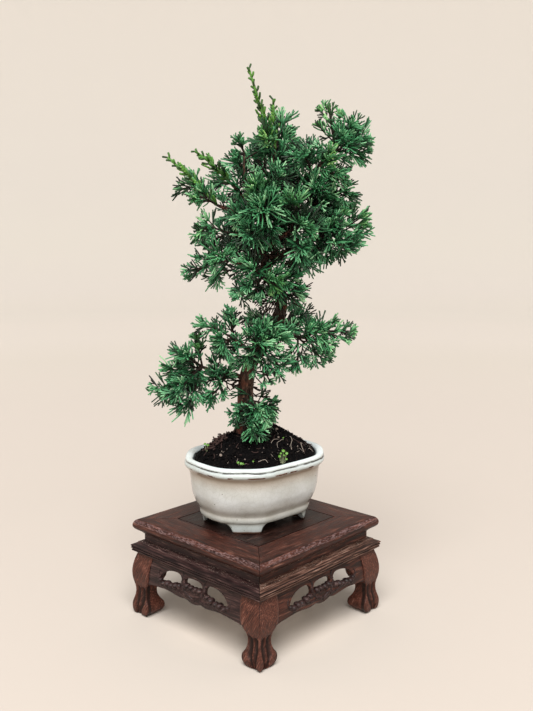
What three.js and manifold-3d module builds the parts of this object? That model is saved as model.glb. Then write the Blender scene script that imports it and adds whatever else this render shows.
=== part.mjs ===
// Kishu juniper bonsai in a glazed pot, on a carved hardwood stand.
// Millimetres, +Z up. The origin is the centre of the stand's footprint, on the floor.
import * as THREE from 'three';
import { mergeVertices } from 'three/addons/utils/BufferGeometryUtils.js';
import Module from 'manifold-3d';

const wasm = await Module();
wasm.setup();

// Stand
const STAND_HALF = 76;       // half side of the ledge, the widest part: a 6 inch square
const STAND_TOP = 83.8;      // height of the face that carries the pot
const RAIL_BOTTOM = 71.1;    // underside of the mitred top frame
const WAIST_BOTTOM = 65.1;   // foot of the narrow waist under the top frame
const LEDGE_BOTTOM = 56.1;   // underside of the ledge, where legs and aprons meet it
const PANEL_HALF = 46.4;     // half side of the loose centre panel
const PANEL_SEAT = 78;       // height of the rebate that carries the panel
const APRON_FACE = 70;       // how far the pierced aprons stand from the centre
const APRON_THICK = 4;
const APRON_FOOT = 31.5;     // lower edge of the aprons
const FIT_GAP = 0.3;         // clearance between pieces that only rest on each other

// Pot
const POT_CENTRE = [1.2, 2.2];
const POT_TURN = -4.6;       // degrees, the pot stands slightly askew
const POT_LONG = 60.2;       // half length over the rim
const POT_WIDE = 49.3;       // half width over the rim
const POT_CORNER = 26.5;     // how far the cut corners run along each side
const POT_RIM = 141.6;       // height of the rim
const POT_FLOOR = 97.5;      // height of the inside floor
const POT_UNDERSIDE = 92.6;  // height of the base between the feet
const DRAIN_RADIUS = 5;
const DRAIN_X = 22;
const SCREEN_SIDE = 17;
const SCREEN_THICK = 0.8;

// Soil
const SOIL_EDGE = 138.6;     // height of the soil against the wall
const SOIL_CREST = 162.5;    // height of the mound
const SOIL_BED = POT_FLOOR + SCREEN_THICK + 2 * FIT_GAP;

// Tree, in its own axes: x across the best side, y away from the viewer, z up
const TREE_TURN = -47;       // degrees, the best side looks over the stand's front corner
const TRUNK_FOOT = [-10, 0];
const TRUNK_HOLE_FLOOR = 148;
const TRUNK_HOLE_RADIUS = 8.4;
const CORE_RADIUS = 0.95;    // the slim core that a shoot's cords grow from
const CORD_SPACING = 5;      // from one ring of cords to the next along a shoot
const CORD_ROOM = 0.8;       // half the thickness that a cord needs, at its thick end
const SIDE_LIMIT = 75.6;     // the foliage stays over the stand's footprint

const PLAN_STEPS = 36;       // points around the pot and the soil
const QUARTER = Math.PI / 2;

// Booleans and meshes

function toSolid(geometry) {
  const bare = geometry.clone();
  bare.deleteAttribute('normal');
  bare.deleteAttribute('uv');
  const merged = mergeVertices(bare, 1e-4);
  const faces = merged.index.array;
  const kept = [];
  for (let i = 0; i < faces.length; i += 3) {
    const [a, b, c] = [faces[i], faces[i + 1], faces[i + 2]];
    if (a !== b && b !== c && c !== a) kept.push(a, b, c);
  }
  const vertProperties = merged.attributes.position.array;
  return new wasm.Manifold(new wasm.Mesh({ numProp: 3, vertProperties, triVerts: Uint32Array.from(kept) }));
}

// The outer shell of the largest piece: loose scraps and sealed hollows are dropped.
function largestBody(solid) {
  return solid.decompose().sort((a, b) => b.volume() - a.volume())[0];
}

function fuse(solids) {
  return largestBody(solids.reduce((sum, solid) => sum.add(solid)));
}

function toGeometry(solid) {
  const mesh = solid.getMesh();
  const geometry = new THREE.BufferGeometry();
  geometry.setAttribute('position', new THREE.BufferAttribute(Float32Array.from(mesh.vertProperties), 3));
  geometry.setIndex(Array.from(mesh.triVerts));
  geometry.computeVertexNormals();
  return geometry;
}

function named(name, solid, color, roughness) {
  const material = new THREE.MeshStandardMaterial({ color, roughness, metalness: 0 });
  const mesh = new THREE.Mesh(toGeometry(solid), material);
  mesh.name = name;
  return mesh;
}

// A seeded stream of numbers from 0 to 1.
function randomFrom(seed) {
  let state = seed * 7919 + 17;
  return () => {
    state = (state * 1103515245 + 12345) % 2147483648;
    return state / 2147483648;
  };
}

// Stand

const SIDES = ['front', 'right', 'back', 'left'];
const CORNERS = ['front_left', 'front_right', 'back_right', 'back_left'];
const WOOD = 0x4a2c22;

// A moulding of the outline [distance from the centre, height], mitred at both ends.
function mitredStrip(outline) {
  const profile = new THREE.Shape(outline.map(([out, height]) => new THREE.Vector2(out, height)));
  const strip = new THREE.ExtrudeGeometry(profile, { depth: 1, bevelEnabled: false });
  const at = strip.attributes.position;
  for (let i = 0; i < at.count; i++) {
    const out = at.getX(i);
    const end = 1 - 2 * at.getZ(i);
    at.setXYZ(i, end * (out - FIT_GAP / Math.SQRT2), -out, at.getY(i));
  }
  return toSolid(strip);
}

const RAIL_OUTLINE = [
  [42, RAIL_BOTTOM], [67.4, RAIL_BOTTOM], [68.6, 72.4], [70.8, 73.9], [73.2, 75.9], [74.3, 78.2],
  [74.2, 79.6], [73.2, 81.3], [71.6, 82.5], [70.9, STAND_TOP], [47, STAND_TOP], [47, PANEL_SEAT],
  [42, PANEL_SEAT],
];

const WAIST_OUTLINE = [
  [61.5, WAIST_BOTTOM], [67.1, WAIST_BOTTOM], [67.1, RAIL_BOTTOM], [61.5, RAIL_BOTTOM],
];

const LEDGE_OUTLINE = [
  [57, LEDGE_BOTTOM], [75.3, LEDGE_BOTTOM], [STAND_HALF, 56.9], [STAND_HALF, 58.7], [74.9, 59.5],
  [75.3, 60.9], [74.5, 62.3], [71.6, 63.6], [69, 64.3], [67.6, WAIST_BOTTOM], [57, WAIST_BOTTOM],
];

function panel() {
  const side = 2 * PANEL_HALF;
  const slab = new THREE.BoxGeometry(side, side, STAND_TOP - PANEL_SEAT);
  slab.translate(0, 0, (STAND_TOP + PANEL_SEAT) / 2);
  return toSolid(slab);
}

// Half of the apron's lower edge, from the middle to the leg: [along, height].
const APRON_EDGE = [[0, 30.3], [5, 31], [9, 32.4], [20, 31.7], [34, 33], [44, 32], [50.9, APRON_FOOT]];
const APRON_HOLE = [
  [14, 45], [15.6, 48.2], [22, 50], [30, 48.8], [36, 45.2], [38.8, 39.8], [35, 40.4], [31.5, 39.4],
  [27, 41.2], [22.5, 40.6], [19.5, 43.4],
];
const APRON_EYE = [[10.8, 45.2], [9.6, 48.1], [5.4, 49.7]];

function apron() {
  const half = APRON_EDGE.map(([x, z]) => new THREE.Vector2(x, z));
  const mirror = (points) => points.map((p) => new THREE.Vector2(-p.x, p.y));
  const top = [new THREE.Vector2(50.9, LEDGE_BOTTOM), new THREE.Vector2(-50.9, LEDGE_BOTTOM)];
  const board = new THREE.Shape([...half, ...top, ...mirror(half.slice(1)).reverse()]);
  const hole = APRON_HOLE.map(([x, z]) => new THREE.Vector2(x, z));
  const eye = APRON_EYE.map(([x, z]) => new THREE.Vector2(x, z));
  const lip = [new THREE.Vector2(-5.6, 44.2), new THREE.Vector2(0, 45.8), new THREE.Vector2(5.6, 44.2)];
  board.holes.push(new THREE.Path(hole));
  board.holes.push(new THREE.Path(mirror(hole)));
  board.holes.push(new THREE.Path([...eye, ...mirror(eye).reverse(), ...lip]));
  const plate = new THREE.ExtrudeGeometry(board, { depth: APRON_THICK, bevelEnabled: false });
  plate.rotateX(QUARTER);
  plate.translate(0, APRON_THICK - APRON_FACE, 0);
  return toSolid(plate);
}

// The leg's section at each height: [height, outer corner's distance, width].
const LEG_SECTIONS = [
  [0, 73.2, 11], [1.8, 74.5, 16.6], [5.5, 75.3, 19.7], [10, 75.2, 19.4], [14, 74.2, 15.8], [18, 73.2, 13.3],
  [22.5, 73, 13], [26.5, 73.6, 14.8], [30, 74.4, 18.4], [34, 75, 20.8], [40, 75, 21.4], [48, 73.6, 21],
  [LEDGE_BOTTOM, 71, 19.5],
];
const LEG_FACETS = 3;

function leg() {
  const rings = LEG_SECTIONS.length - 1;
  const block = new THREE.BoxGeometry(1, 1, 1, LEG_FACETS, LEG_FACETS, rings);
  const at = block.attributes.position;
  for (let i = 0; i < at.count; i++) {
    const [height, corner, width] = LEG_SECTIONS[Math.round((at.getZ(i) + 0.5) * rings)];
    // Three toes swell from the two outer faces of the foot, and the outer corner is eased.
    const toes = Math.max(0, 1 - Math.abs(height - 7) / 9);
    const across = [at.getX(i) + 0.5, at.getY(i) + 0.5];
    const swell = across.map((t) => toes * 0.7 * (Math.cos(4 * Math.PI * t) - 1) / 2);
    const ease = across[0] + across[1] < 0.01 ? 0.9 : 0;
    const x = -corner + across[0] * width - (across[0] < 0.01 ? swell[1] : 0) + ease;
    const y = -corner + across[1] * width - (across[1] < 0.01 ? swell[0] : 0) + ease;
    at.setXYZ(i, x, y, height);
  }
  return toSolid(block);
}

const stand = new THREE.Group();
stand.add(named('stand_panel', panel(), WOOD, 0.5));
SIDES.forEach((side, i) => {
  const pieces = [
    named(`stand_rail_${side}`, mitredStrip(RAIL_OUTLINE), WOOD, 0.5),
    named(`stand_waist_${side}`, mitredStrip(WAIST_OUTLINE), WOOD, 0.5),
    named(`stand_ledge_${side}`, mitredStrip(LEDGE_OUTLINE), WOOD, 0.5),
    named(`stand_apron_${side}`, apron(), WOOD, 0.5),
    named(`stand_leg_${CORNERS[i]}`, leg(), WOOD, 0.5),
  ];
  for (const piece of pieces) {
    piece.rotation.z = i * QUARTER;
    stand.add(piece);
  }
});

// Pot, in its own axes: x along its length, heights as in the stand

// A point on the pot's plan, an oblong with cut corners and bowed sides, drawn in by `inset`.
function planPoint(angle, inset) {
  const long = POT_LONG - inset;
  const wide = POT_WIDE - inset;
  const cut = long + wide - (POT_CORNER - 0.3 * inset);
  const c = Math.abs(Math.cos(angle));
  const s = Math.abs(Math.sin(angle));
  const roundness = 11;
  const sum = (c / long) ** roundness + (s / wide) ** roundness + ((c + s) / cut) ** roundness;
  const radius = sum ** (-1 / roundness);
  return [radius * Math.cos(angle), radius * Math.sin(angle)];
}

// A closed body from rings [share of the plan's radius, inset, height], from axis to axis.
function planBody(rings, heightAt = (x, y, z) => z) {
  const profile = rings.map(([share, inset, height]) => new THREE.Vector2(share * 50, height));
  const body = new THREE.LatheGeometry(profile, PLAN_STEPS);
  const at = body.attributes.position;
  for (let i = 0; i < at.count; i++) {
    const step = Math.floor(i / rings.length) % PLAN_STEPS;
    const [share, inset, height] = rings[i % rings.length];
    const [x, y] = planPoint(((step + 0.5) / PLAN_STEPS) * 2 * Math.PI, inset);
    at.setXYZ(i, share * x, share * y, heightAt(share * x, share * y, height));
  }
  return toSolid(body);
}

const POT_OUTSIDE = [
  [12.6, STAND_TOP + FIT_GAP], [10.2, 93.2], [7.5, 96.6], [8, 98.4], [5.3, 105], [4.6, 114], [4, 124],
  [3.1, 129], [0, 134.5], [0, 137.4], [0.7, 138.6], [0, 139.6], [2.3, POT_RIM], [5, POT_RIM - 0.5],
];
const POT_INSIDE = [[6.6, 137.5], [9, 124], [10.2, 108], [12.2, 101.5], [16, POT_FLOOR]];
const FOOT_RING = 9;

// The opening between two feet, across the whole pot: half width at the sole and at the top.
function footArch(sole, top, reach) {
  const low = STAND_TOP - 2;
  const high = POT_UNDERSIDE + 0.5;
  const arch = new THREE.Shape();
  arch.moveTo(-sole, low);
  arch.lineTo(sole, low);
  arch.lineTo(sole, STAND_TOP + 1);
  arch.quadraticCurveTo(sole - 2, high, top, high);
  arch.lineTo(-top, high);
  arch.quadraticCurveTo(2 - sole, high, -sole, STAND_TOP + 1);
  const cutter = new THREE.ExtrudeGeometry(arch, { depth: 2 * reach, bevelEnabled: false, curveSegments: 3 });
  cutter.rotateX(QUARTER);
  cutter.translate(0, reach, 0);
  return cutter;
}

function drainHole(x) {
  const drill = new THREE.CylinderGeometry(DRAIN_RADIUS, DRAIN_RADIUS, 20, 16);
  drill.rotateX(QUARTER);
  drill.translate(x, 0, POT_FLOOR);
  return toSolid(drill);
}

function potBody() {
  const wall = [...POT_OUTSIDE, ...POT_INSIDE].map(([inset, height]) => [1, inset, height]);
  const [[soleInset, soleHeight]] = POT_OUTSIDE;
  const ringInset = soleInset + FOOT_RING;
  const underside = [[0, 16, POT_UNDERSIDE], [1, ringInset, POT_UNDERSIDE], [1, ringInset, soleHeight]];
  const shell = planBody([...underside, ...wall, [0, 16, POT_FLOOR]]);
  const longArch = toSolid(footArch(28, 20, 60));
  const shortArch = toSolid(footArch(22, 14, 70).rotateZ(QUARTER));
  const drained = shell.subtract(drainHole(DRAIN_X)).subtract(drainHole(-DRAIN_X));
  return largestBody(drained.subtract(longArch).subtract(shortArch));
}

// A square of plastic mesh that keeps the soil in over a drain hole.
function drainScreen(x) {
  const middle = POT_FLOOR + FIT_GAP + SCREEN_THICK / 2;
  const block = (side, u, v, thick) => {
    const square = new THREE.BoxGeometry(side, side, thick);
    return toSolid(square.translate(x + u, v, middle));
  };
  let screen = block(SCREEN_SIDE, 0, 0, SCREEN_THICK);
  for (const u of [-3.6, 3.6]) {
    for (const v of [-3.6, 3.6]) screen = screen.subtract(block(5, u, v, 4));
  }
  return screen;
}

const pot = new THREE.Group();
pot.position.set(POT_CENTRE[0], POT_CENTRE[1], 0);
pot.rotation.z = THREE.MathUtils.degToRad(POT_TURN);
pot.add(named('pot', potBody(), 0xd9d6cc, 0.25));
pot.add(named('drain_screen_left', drainScreen(-DRAIN_X), 0x1c1c1c, 0.6));
pot.add(named('drain_screen_right', drainScreen(DRAIN_X), 0x1c1c1c, 0.6));

const tree = new THREE.Group();
tree.rotation.z = THREE.MathUtils.degToRad(TREE_TURN);
pot.updateMatrixWorld();
tree.updateMatrixWorld();

// Soil, a mound that rises from the wall to the trunk, in the pot's axes

function shareOfPlan(x, y) {
  const [edgeX, edgeY] = planPoint(Math.atan2(y, x), 0);
  return Math.hypot(x, y) / Math.hypot(edgeX, edgeY);
}

function soilHeight(x, y) {
  const share = Math.min(1, shareOfPlan(x - 2, y) / 0.88);
  const mound = (1 - share ** 1.7) ** 1.15;
  const crumbs = 0.6 * Math.sin(0.9 * x + 1.3 * y) * Math.cos(0.7 * y - 0.4 * x);
  return SOIL_EDGE + (SOIL_CREST - SOIL_EDGE) * mound + crumbs * (1 - share);
}

function soilHeightUnderTree(point) {
  const inPot = pot.worldToLocal(tree.localToWorld(point.clone()));
  return soilHeight(inPot.x, inPot.y);
}

function roundHole(x, y, floor, radius, sides) {
  const drill = new THREE.CylinderGeometry(radius, radius, 60, sides);
  drill.rotateX(QUARTER);
  drill.translate(x, y, floor + 30);
  return toSolid(drill);
}

const trunkInPot = pot.worldToLocal(tree.localToWorld(new THREE.Vector3(...TRUNK_FOOT, 0)));
const SEEDLING_IN_POT = [-7, -38.5];
const SEEDLING_DEPTH = 3;

function soil() {
  const wall = POT_INSIDE.map(([inset, height]) => [1, inset + FIT_GAP, height]).reverse().slice(1);
  const shares = [1, 0.84, 0.66, 0.46, 0.24];
  const inset = 6.6 + FIT_GAP;
  const rings = [
    [0, 15, SOIL_BED], [1, 15, SOIL_BED], ...wall.slice(0, -1),
    ...shares.map((share) => [share, inset, SOIL_CREST]), [0, inset, SOIL_CREST],
  ];
  const mound = planBody(rings, (x, y, z) => (z === SOIL_CREST ? soilHeight(x, y) : z));
  const seedlingFloor = soilHeight(...SEEDLING_IN_POT) - SEEDLING_DEPTH - FIT_GAP;
  return mound
    .subtract(roundHole(trunkInPot.x, trunkInPot.y, TRUNK_HOLE_FLOOR, TRUNK_HOLE_RADIUS, 16))
    .subtract(roundHole(...SEEDLING_IN_POT, seedlingFloor, 1.1, 8));
}

pot.add(named('soil', soil(), 0x17120f, 0.95));

// Limbs: round sticks that follow a curve

// One sideways vector for each ring, carried along the curve without twisting.
function sidewaysAlong(curve, rings) {
  const vectors = [];
  let side = new THREE.Vector3(0.31, 0.95, 0.12);
  for (let i = 0; i <= rings; i++) {
    const tangent = curve.getTangent(i / rings);
    side = side.clone().addScaledVector(tangent, -side.dot(tangent)).normalize();
    vectors.push(side);
  }
  return vectors;
}

// A stick along `points`, with a radius for each point; each ring is turned by `twist` from the last.
function limbGeometry(points, radii, sides, rings, twist = 0) {
  const curve = new THREE.CatmullRomCurve3(points.map((p) => new THREE.Vector3(...p)), false, 'centripetal');
  const sideways = sidewaysAlong(curve, rings);
  const stick = new THREE.CylinderGeometry(1, 1, 1, sides, rings);
  const at = stick.attributes.position;
  for (let i = 0; i < at.count; i++) {
    const ring = Math.round((at.getY(i) + 0.5) * rings);
    const t = ring / rings;
    const tangent = curve.getTangent(t);
    const along = t * (radii.length - 1);
    const k = Math.min(Math.floor(along), radii.length - 2);
    const radius = THREE.MathUtils.lerp(radii[k], radii[k + 1], along - k);
    const side = sideways[ring].clone().applyAxisAngle(tangent, ring * twist);
    const across = new THREE.Vector3().crossVectors(side, tangent);
    const place = curve.getPoint(t);
    place.addScaledVector(side, at.getX(i) * radius).addScaledVector(across, at.getZ(i) * radius);
    at.setXYZ(i, place.x, place.y, place.z);
  }
  return stick;
}

function limb(points, radii, sides, rings) {
  return toSolid(limbGeometry(points, radii, sides, rings));
}

// Seedling that has come up by the rim

function leaflet(x, y, z, size, turn) {
  const blade = new THREE.SphereGeometry(1, 7, 4);
  blade.scale(size, size * 0.72, 0.45);
  blade.rotateY(-0.35);
  blade.rotateZ(turn);
  blade.translate(x, y, z);
  return toSolid(blade);
}

function seedling() {
  const [x, y] = SEEDLING_IN_POT;
  const ground = soilHeight(x, y);
  const stem = [[x, y, ground - SEEDLING_DEPTH], [x, y, ground + 3], [x - 0.6, y + 0.4, ground + 9.6]];
  const fork = [[x, y, ground + 2.2], [x + 2.4, y - 0.6, ground + 5.2], [x + 3.6, y - 0.8, ground + 7.4]];
  return fuse([
    limb(stem, [0.6, 0.5, 0.4], 5, 4),
    limb(fork, [0.45, 0.4, 0.35], 5, 3),
    leaflet(x - 1.8, y, ground + 9.7, 2.4, 0.3),
    leaflet(x + 0.9, y + 1.2, ground + 9.4, 2.3, 2.2),
    leaflet(x + 4.2, y - 1.6, ground + 7.5, 2.2, -0.8),
    leaflet(x + 4.6, y + 0.6, ground + 7.2, 1.9, 0.9),
  ]);
}

pot.add(named('seedling', seedling(), 0x7fb53a, 0.6));

// Trunk and branches, one woody piece: points [across, away, up] and a radius at each

const TRUNK = [
  [[-10, 0, TRUNK_HOLE_FLOOR + FIT_GAP], 7.9], [[-10, 0, 158], 7.9], [[-10, 0, 167], 7.3],
  [[-9, 0, 184], 6.4], [[-8, 0, 203], 6.2], [[-3, 1, 219], 6], [[8, 3, 236], 5.5], [[17, 4, 252], 5.1],
  [[21.5, 3, 266], 4.8], [[17, 1, 279], 4.5], [[10, -1, 291], 4.3], [[6, -1, 310], 3.9],
  [[4, 0, 332], 3.4], [[8, 2, 352], 2.9], [[13, 3, 371], 2.3], [[16, 3, 386], 1.7],
];

// Each branch runs from inside the trunk to where its foliage starts.
const BRANCHES = {
  low_left: [[[-9, 0, 203], 2.6], [[-20, 1, 208], 2.2], [[-32, 0, 209], 1.8], [[-42, 0, 213], 1.4]],
  low_left_inner: [[[-24, 1, 208.5], 1.3], [[-27, -2, 205], 1.1], [[-29, -4, 200], 0.9]],
  trunk_base: [[[-9, 0, 198], 1.8], [[-4, -8, 197], 1.3], [[-3, -11, 190], 1]],
  middle_left: [[[0, 1, 223], 2.2], [[-9, -6, 231], 1.8], [[-17, -12, 238], 1.3]],
  middle_front: [[[5, 2, 232], 2.2], [[2, -7, 234], 1.6], [[-1, -14, 234], 1.2]],
  middle_right: [[[15, 4, 248], 2.6], [[22, 0, 243], 2.1], [[32, -5, 240], 1.5]],
  middle_back: [[[19, 4, 256], 2.2], [[22, 12, 250], 1.6], [[21, 19, 246], 1.2]],
  waist_left: [[[9, -1, 294], 2.4], [[-6, -4, 297], 1.9], [[-19, -7, 301], 1.4]],
  waist_front: [[[14, 0, 284], 2.2], [[10, -8, 287], 1.6], [[6, -13, 288], 1.2]],
  left_middle: [[[5, -1, 316], 2.2], [[-8, -3, 320], 1.8], [[-19, -4, 323], 1.3]],
  upper_left: [[[4, 0, 333], 2.3], [[-14, 1, 339], 1.9], [[-29, 0, 345], 1.4]],
  second_leader: [[[5, 1, 340], 2], [[-8, 4, 351], 1.5], [[-18, 4, 361], 1.1]],
  bare_stub: [[[6, 1, 346], 1.8], [[-6, -2, 357], 1.3], [[-9, -4, 372], 1.1], [[-9, -4, 384], 0.9]],
  crown_front: [[[5, 0, 326], 2.2], [[8, -8, 333], 1.6], [[9, -14, 337], 1.2]],
  crown_right_front: [[[6, -1, 308], 2.5], [[16, -4, 317], 2], [[27, -9, 325], 1.4]],
  right: [[[7, -1, 303], 2.7], [[24, 3, 308], 2.2], [[40, 5, 314], 1.7], [[50, 4, 319], 1.3]],
  right_upper: [[[5, 1, 338], 2.3], [[22, 6, 340], 1.9], [[38, 8, 345], 1.3]],
  upper_right: [[[9, 2, 356], 2.4], [[28, 8, 362], 2], [[50, 7, 374], 1.6], [[62, 5, 386], 1.2]],
  bright_patch: [[[26, 8, 361.5], 1.5], [[36, 0, 366], 1.2], [[43, -4, 371], 1]],
  top: [[[13, 3, 370], 1.8], [[20, -1, 379], 1.4], [[22, -2, 387], 1.1]],
  crown_back: [[[6, -1, 312], 2.3], [[4, 9, 318], 1.8], [[3, 17, 324], 1.3]],
  crown_back_right: [[[5, 0, 322], 2.2], [[16, 11, 326], 1.8], [[25, 18, 331], 1.3]],
  crown_back_top: [[[10, 2, 360], 1.9], [[13, 11, 364], 1.4], [[14, 17, 369], 1.1]],
};

function split(knots) {
  return [knots.map(([point]) => point), knots.map(([, radius]) => radius)];
}

// Everything already grown, as straight lengths with a radius, so that new growth keeps clear.
const grown = [];

function straight(from, to, radius, stem) {
  return { from, to, radius, stem, middle: from.clone().lerp(to, 0.5), half: from.distanceTo(to) / 2 };
}

function record(points, radii, stem) {
  for (let i = 1; i < points.length; i++) {
    const ends = [new THREE.Vector3(...points[i - 1]), new THREE.Vector3(...points[i])];
    grown.push(straight(...ends, Math.max(radii[i - 1], radii[i]), `${stem} core`));
  }
}

function wood() {
  const [spine, girths] = split(TRUNK);
  record(spine, girths, 'wood');
  const parts = [limb(spine, girths, 8, 17)];
  for (const knots of Object.values(BRANCHES)) {
    const [points, radii] = split(knots);
    record(points, radii, 'wood');
    parts.push(limb(points, radii, 5, points.length));
  }
  return fuse(parts);
}

tree.add(named('trunk_and_branches', wood(), 0x5a3a2a, 0.85));

// Foliage: each pad grows from the end of one branch and holds several shoots

// A shoot is [tip, reach of its side cords, sag]; it starts at the pad's branch end.
const PADS = {
  low_left: [
    [[-87, -2, 186], 15, 3], [[-80, 5, 216], 15, 2], [[-53, 6, 247], 13, 0], [[-58, -9, 174], 14, 1],
    [[-66, -18, 232], 13, 1], [[-66, 16, 194], 13, 0], [[-72, -16, 174], 12, 3],
  ],
  low_left_inner: [[[-27, -12, 178], 11, 0], [[-40, -18, 186], 10, 0]],
  trunk_base: [[[-4, -19, 166], 11, 0], [[18, -19, 181], 11, 2], [[-17, -16, 176], 9, 0]],
  middle_left: [[[-49, -10, 254], 13, 2], [[-30, -30, 236], 14, 1], [[-38, 4, 226], 12, 0]],
  middle_front: [[[9, -35, 237], 14, 2], [[-10, -27, 218], 11, 0]],
  middle_right: [
    [[60, -16, 250], 14, 2], [[84, -8, 243], 11, 3], [[63, -4, 214], 13, 0], [[34, -18, 207], 13, 0],
  ],
  middle_back: [[[46, 26, 252], 12, 2], [[-8, 40, 242], 14, 3], [[22, 44, 234], 13, 1]],
  waist_left: [[[-56, -8, 289], 12, 3], [[-32, -30, 304], 14, 2], [[-36, 12, 284], 13, 0]],
  waist_front: [[[-6, -34, 300], 14, 2], [[20, -30, 279], 12, 0], [[-20, -20, 274], 12, 0]],
  left_middle: [[[-51, -8, 328], 14, 3], [[-44, 12, 312], 14, 1]],
  upper_left: [[[-70, -3, 383], 11, 2], [[-58, -12, 350], 12, 2], [[-64, 12, 366], 12, 2]],
  second_leader: [[[-48, 0, 388], 11, 2], [[-36, 16, 372], 13, 1]],
  bare_stub: [[[-17, -5, 402], 8, 0], [[-26, -14, 384], 12, 0]],
  crown_front: [[[2, -40, 342], 15, 2], [[-2, -28, 366], 14, 1], [[-18, -28, 336], 14, 1]],
  crown_right_front: [[[44, -34, 326], 15, 2], [[30, -34, 352], 15, 1], [[40, -22, 297], 14, 0]],
  right: [[[91, -3, 331], 13, 3], [[72, 12, 287], 13, 1], [[76, -22, 308], 13, 2], [[52, -8, 281], 14, 0]],
  right_upper: [[[83, 0, 358], 14, 3], [[56, -14, 346], 13, 1], [[70, 22, 342], 14, 2]],
  upper_right: [
    [[60, 4, 425], 12, 0], [[88, -6, 411], 14, 2], [[91, 6, 384], 13, 3], [[40, 18, 405], 13, 1],
    [[76, 20, 402], 13, 1],
  ],
  bright_patch: [[[62, -22, 384], 14, 1], [[36, -26, 386], 14, 0], [[74, -12, 366], 13, 1]],
  top: [[[-6, -2, 452], 8, -2], [[34, 0, 412], 12, 1], [[4, -16, 400], 13, 1], [[12, 12, 430], 10, 0]],
  crown_back: [
    [[-22, 42, 340], 15, 2], [[6, 48, 316], 15, 2], [[-26, 30, 308], 14, 1], [[-4, 36, 358], 14, 1],
  ],
  crown_back_right: [
    [[44, 44, 336], 15, 2], [[56, 26, 306], 14, 1], [[34, 36, 294], 14, 0], [[36, 34, 366], 14, 1],
  ],
  crown_back_top: [[[18, 42, 384], 14, 1], [[-14, 24, 382], 13, 1], [[40, 26, 392], 14, 1]],
};

// The least distance between the centre lines of two straight lengths.
function lineGap(a, b) {
  const u = a.to.clone().sub(a.from);
  const v = b.to.clone().sub(b.from);
  const w = a.from.clone().sub(b.from);
  const [uu, uv, vv, uw, vw] = [u.dot(u), u.dot(v), v.dot(v), u.dot(w), v.dot(w)];
  const clamp = (value) => THREE.MathUtils.clamp(value, 0, 1);
  const spread = uu * vv - uv * uv;
  let s = spread > 1e-9 ? clamp((uv * vw - vv * uw) / spread) : 0;
  const t = clamp((uv * s + vw) / vv);
  s = clamp((uv * t - uw) / uu);
  return w.addScaledVector(u, s).addScaledVector(v, -t).length();
}

// A cord keeps clear of everything but the core that it grows from.
function isClear(cord) {
  const end = tree.localToWorld(cord.to.clone());
  if (Math.max(Math.abs(end.x), Math.abs(end.y)) > SIDE_LIMIT) return false;
  if (cord.to.z < soilHeightUnderTree(cord.to) + 1.5) return false;
  return grown.every((other) => {
    if (other.stem === `${cord.stem} core`) return true;
    const needed = other.stem === cord.stem ? 1.2 : cord.radius + other.radius + FIT_GAP;
    if (cord.middle.distanceTo(other.middle) > cord.half + other.half + needed) return true;
    return lineGap(cord, other) > needed;
  });
}

// The shoot's points: it leaves the branch end, bows, and ends at its tip.
function shootPoints(base, tip, sag) {
  const middle = base.map((value, i) => (value + tip[i]) / 2 + (i === 2 ? sag : 0));
  return [base, middle, tip];
}

// The tip of a cord drawn out from one face of the core, or null where it would cross something.
function cordTip(root, outward, tangent, reach, t, stem, random) {
  const taper = 1 - 0.45 * t * t;
  for (let attempt = 0; attempt < 7; attempt++) {
    const turn = (random() - 0.5) * (0.5 + 0.25 * attempt);
    const forward = 0.45 + 0.6 * random() + 0.8 * t * t;
    const direction = outward.clone().applyAxisAngle(tangent, turn);
    direction.addScaledVector(tangent, forward).normalize();
    const length = reach * taper * (0.7 + 0.4 * random()) * (1 - 0.08 * attempt);
    const tip = root.clone().addScaledVector(direction, length);
    const cord = straight(root.clone().lerp(tip, 0.2), tip, CORD_ROOM, stem);
    if (isClear(cord)) {
      grown.push(cord);
      return tip;
    }
  }
  return null;
}

// A slim core with its faces drawn out into cords. Each face that can is a four-sided spike.
function bristledCore(points, reach, stem, random) {
  const length = new THREE.Vector3(...points[0]).distanceTo(new THREE.Vector3(...points[2]));
  const rings = Math.max(4, Math.round(length / CORD_SPACING));
  const core = limbGeometry(points, [CORE_RADIUS, CORE_RADIUS, 0.6], 4, rings, 0.5);
  const at = core.attributes.position;
  const place = [...at.array];
  const faces = [...core.index.array];
  const kept = faces.slice(24 * rings);
  const corner = (i) => new THREE.Vector3(...place.slice(3 * i, 3 * i + 3));
  for (let quad = 0; quad < 4 * rings; quad++) {
    const [a, b, d, , c] = faces.slice(6 * quad, 6 * quad + 6);
    const ring = rings - (quad % rings) - 1;
    const t = (ring + 0.5) / rings;
    const loop = [a, b, c, d].map(corner);
    const root = loop.reduce((sum, p) => sum.addScaledVector(p, 0.25), new THREE.Vector3());
    const tangent = loop[0].clone().sub(loop[1]).normalize();
    const diagonals = [loop[2].clone().sub(loop[0]), loop[3].clone().sub(loop[1])];
    const outward = new THREE.Vector3().crossVectors(...diagonals).normalize();
    const tip = t < 0.1 ? null : cordTip(root, outward, tangent, reach, t, stem, random);
    if (tip === null) {
      kept.push(a, b, d, b, c, d);
    } else {
      const apex = place.length / 3;
      place.push(tip.x, tip.y, tip.z);
      kept.push(a, b, apex, b, c, apex, c, d, apex, d, a, apex);
    }
  }
  const bristled = new THREE.BufferGeometry();
  bristled.setAttribute('position', new THREE.Float32BufferAttribute(place, 3));
  bristled.setIndex(kept);
  return toSolid(bristled);
}

// The end of a branch, and the way that it points.
function branchEnd(name) {
  const knots = BRANCHES[name];
  const end = new THREE.Vector3(...knots[knots.length - 1][0]);
  const before = new THREE.Vector3(...knots[knots.length - 2][0]);
  return { end, heading: end.clone().sub(before).normalize(), radius: knots[knots.length - 1][1] };
}

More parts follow.
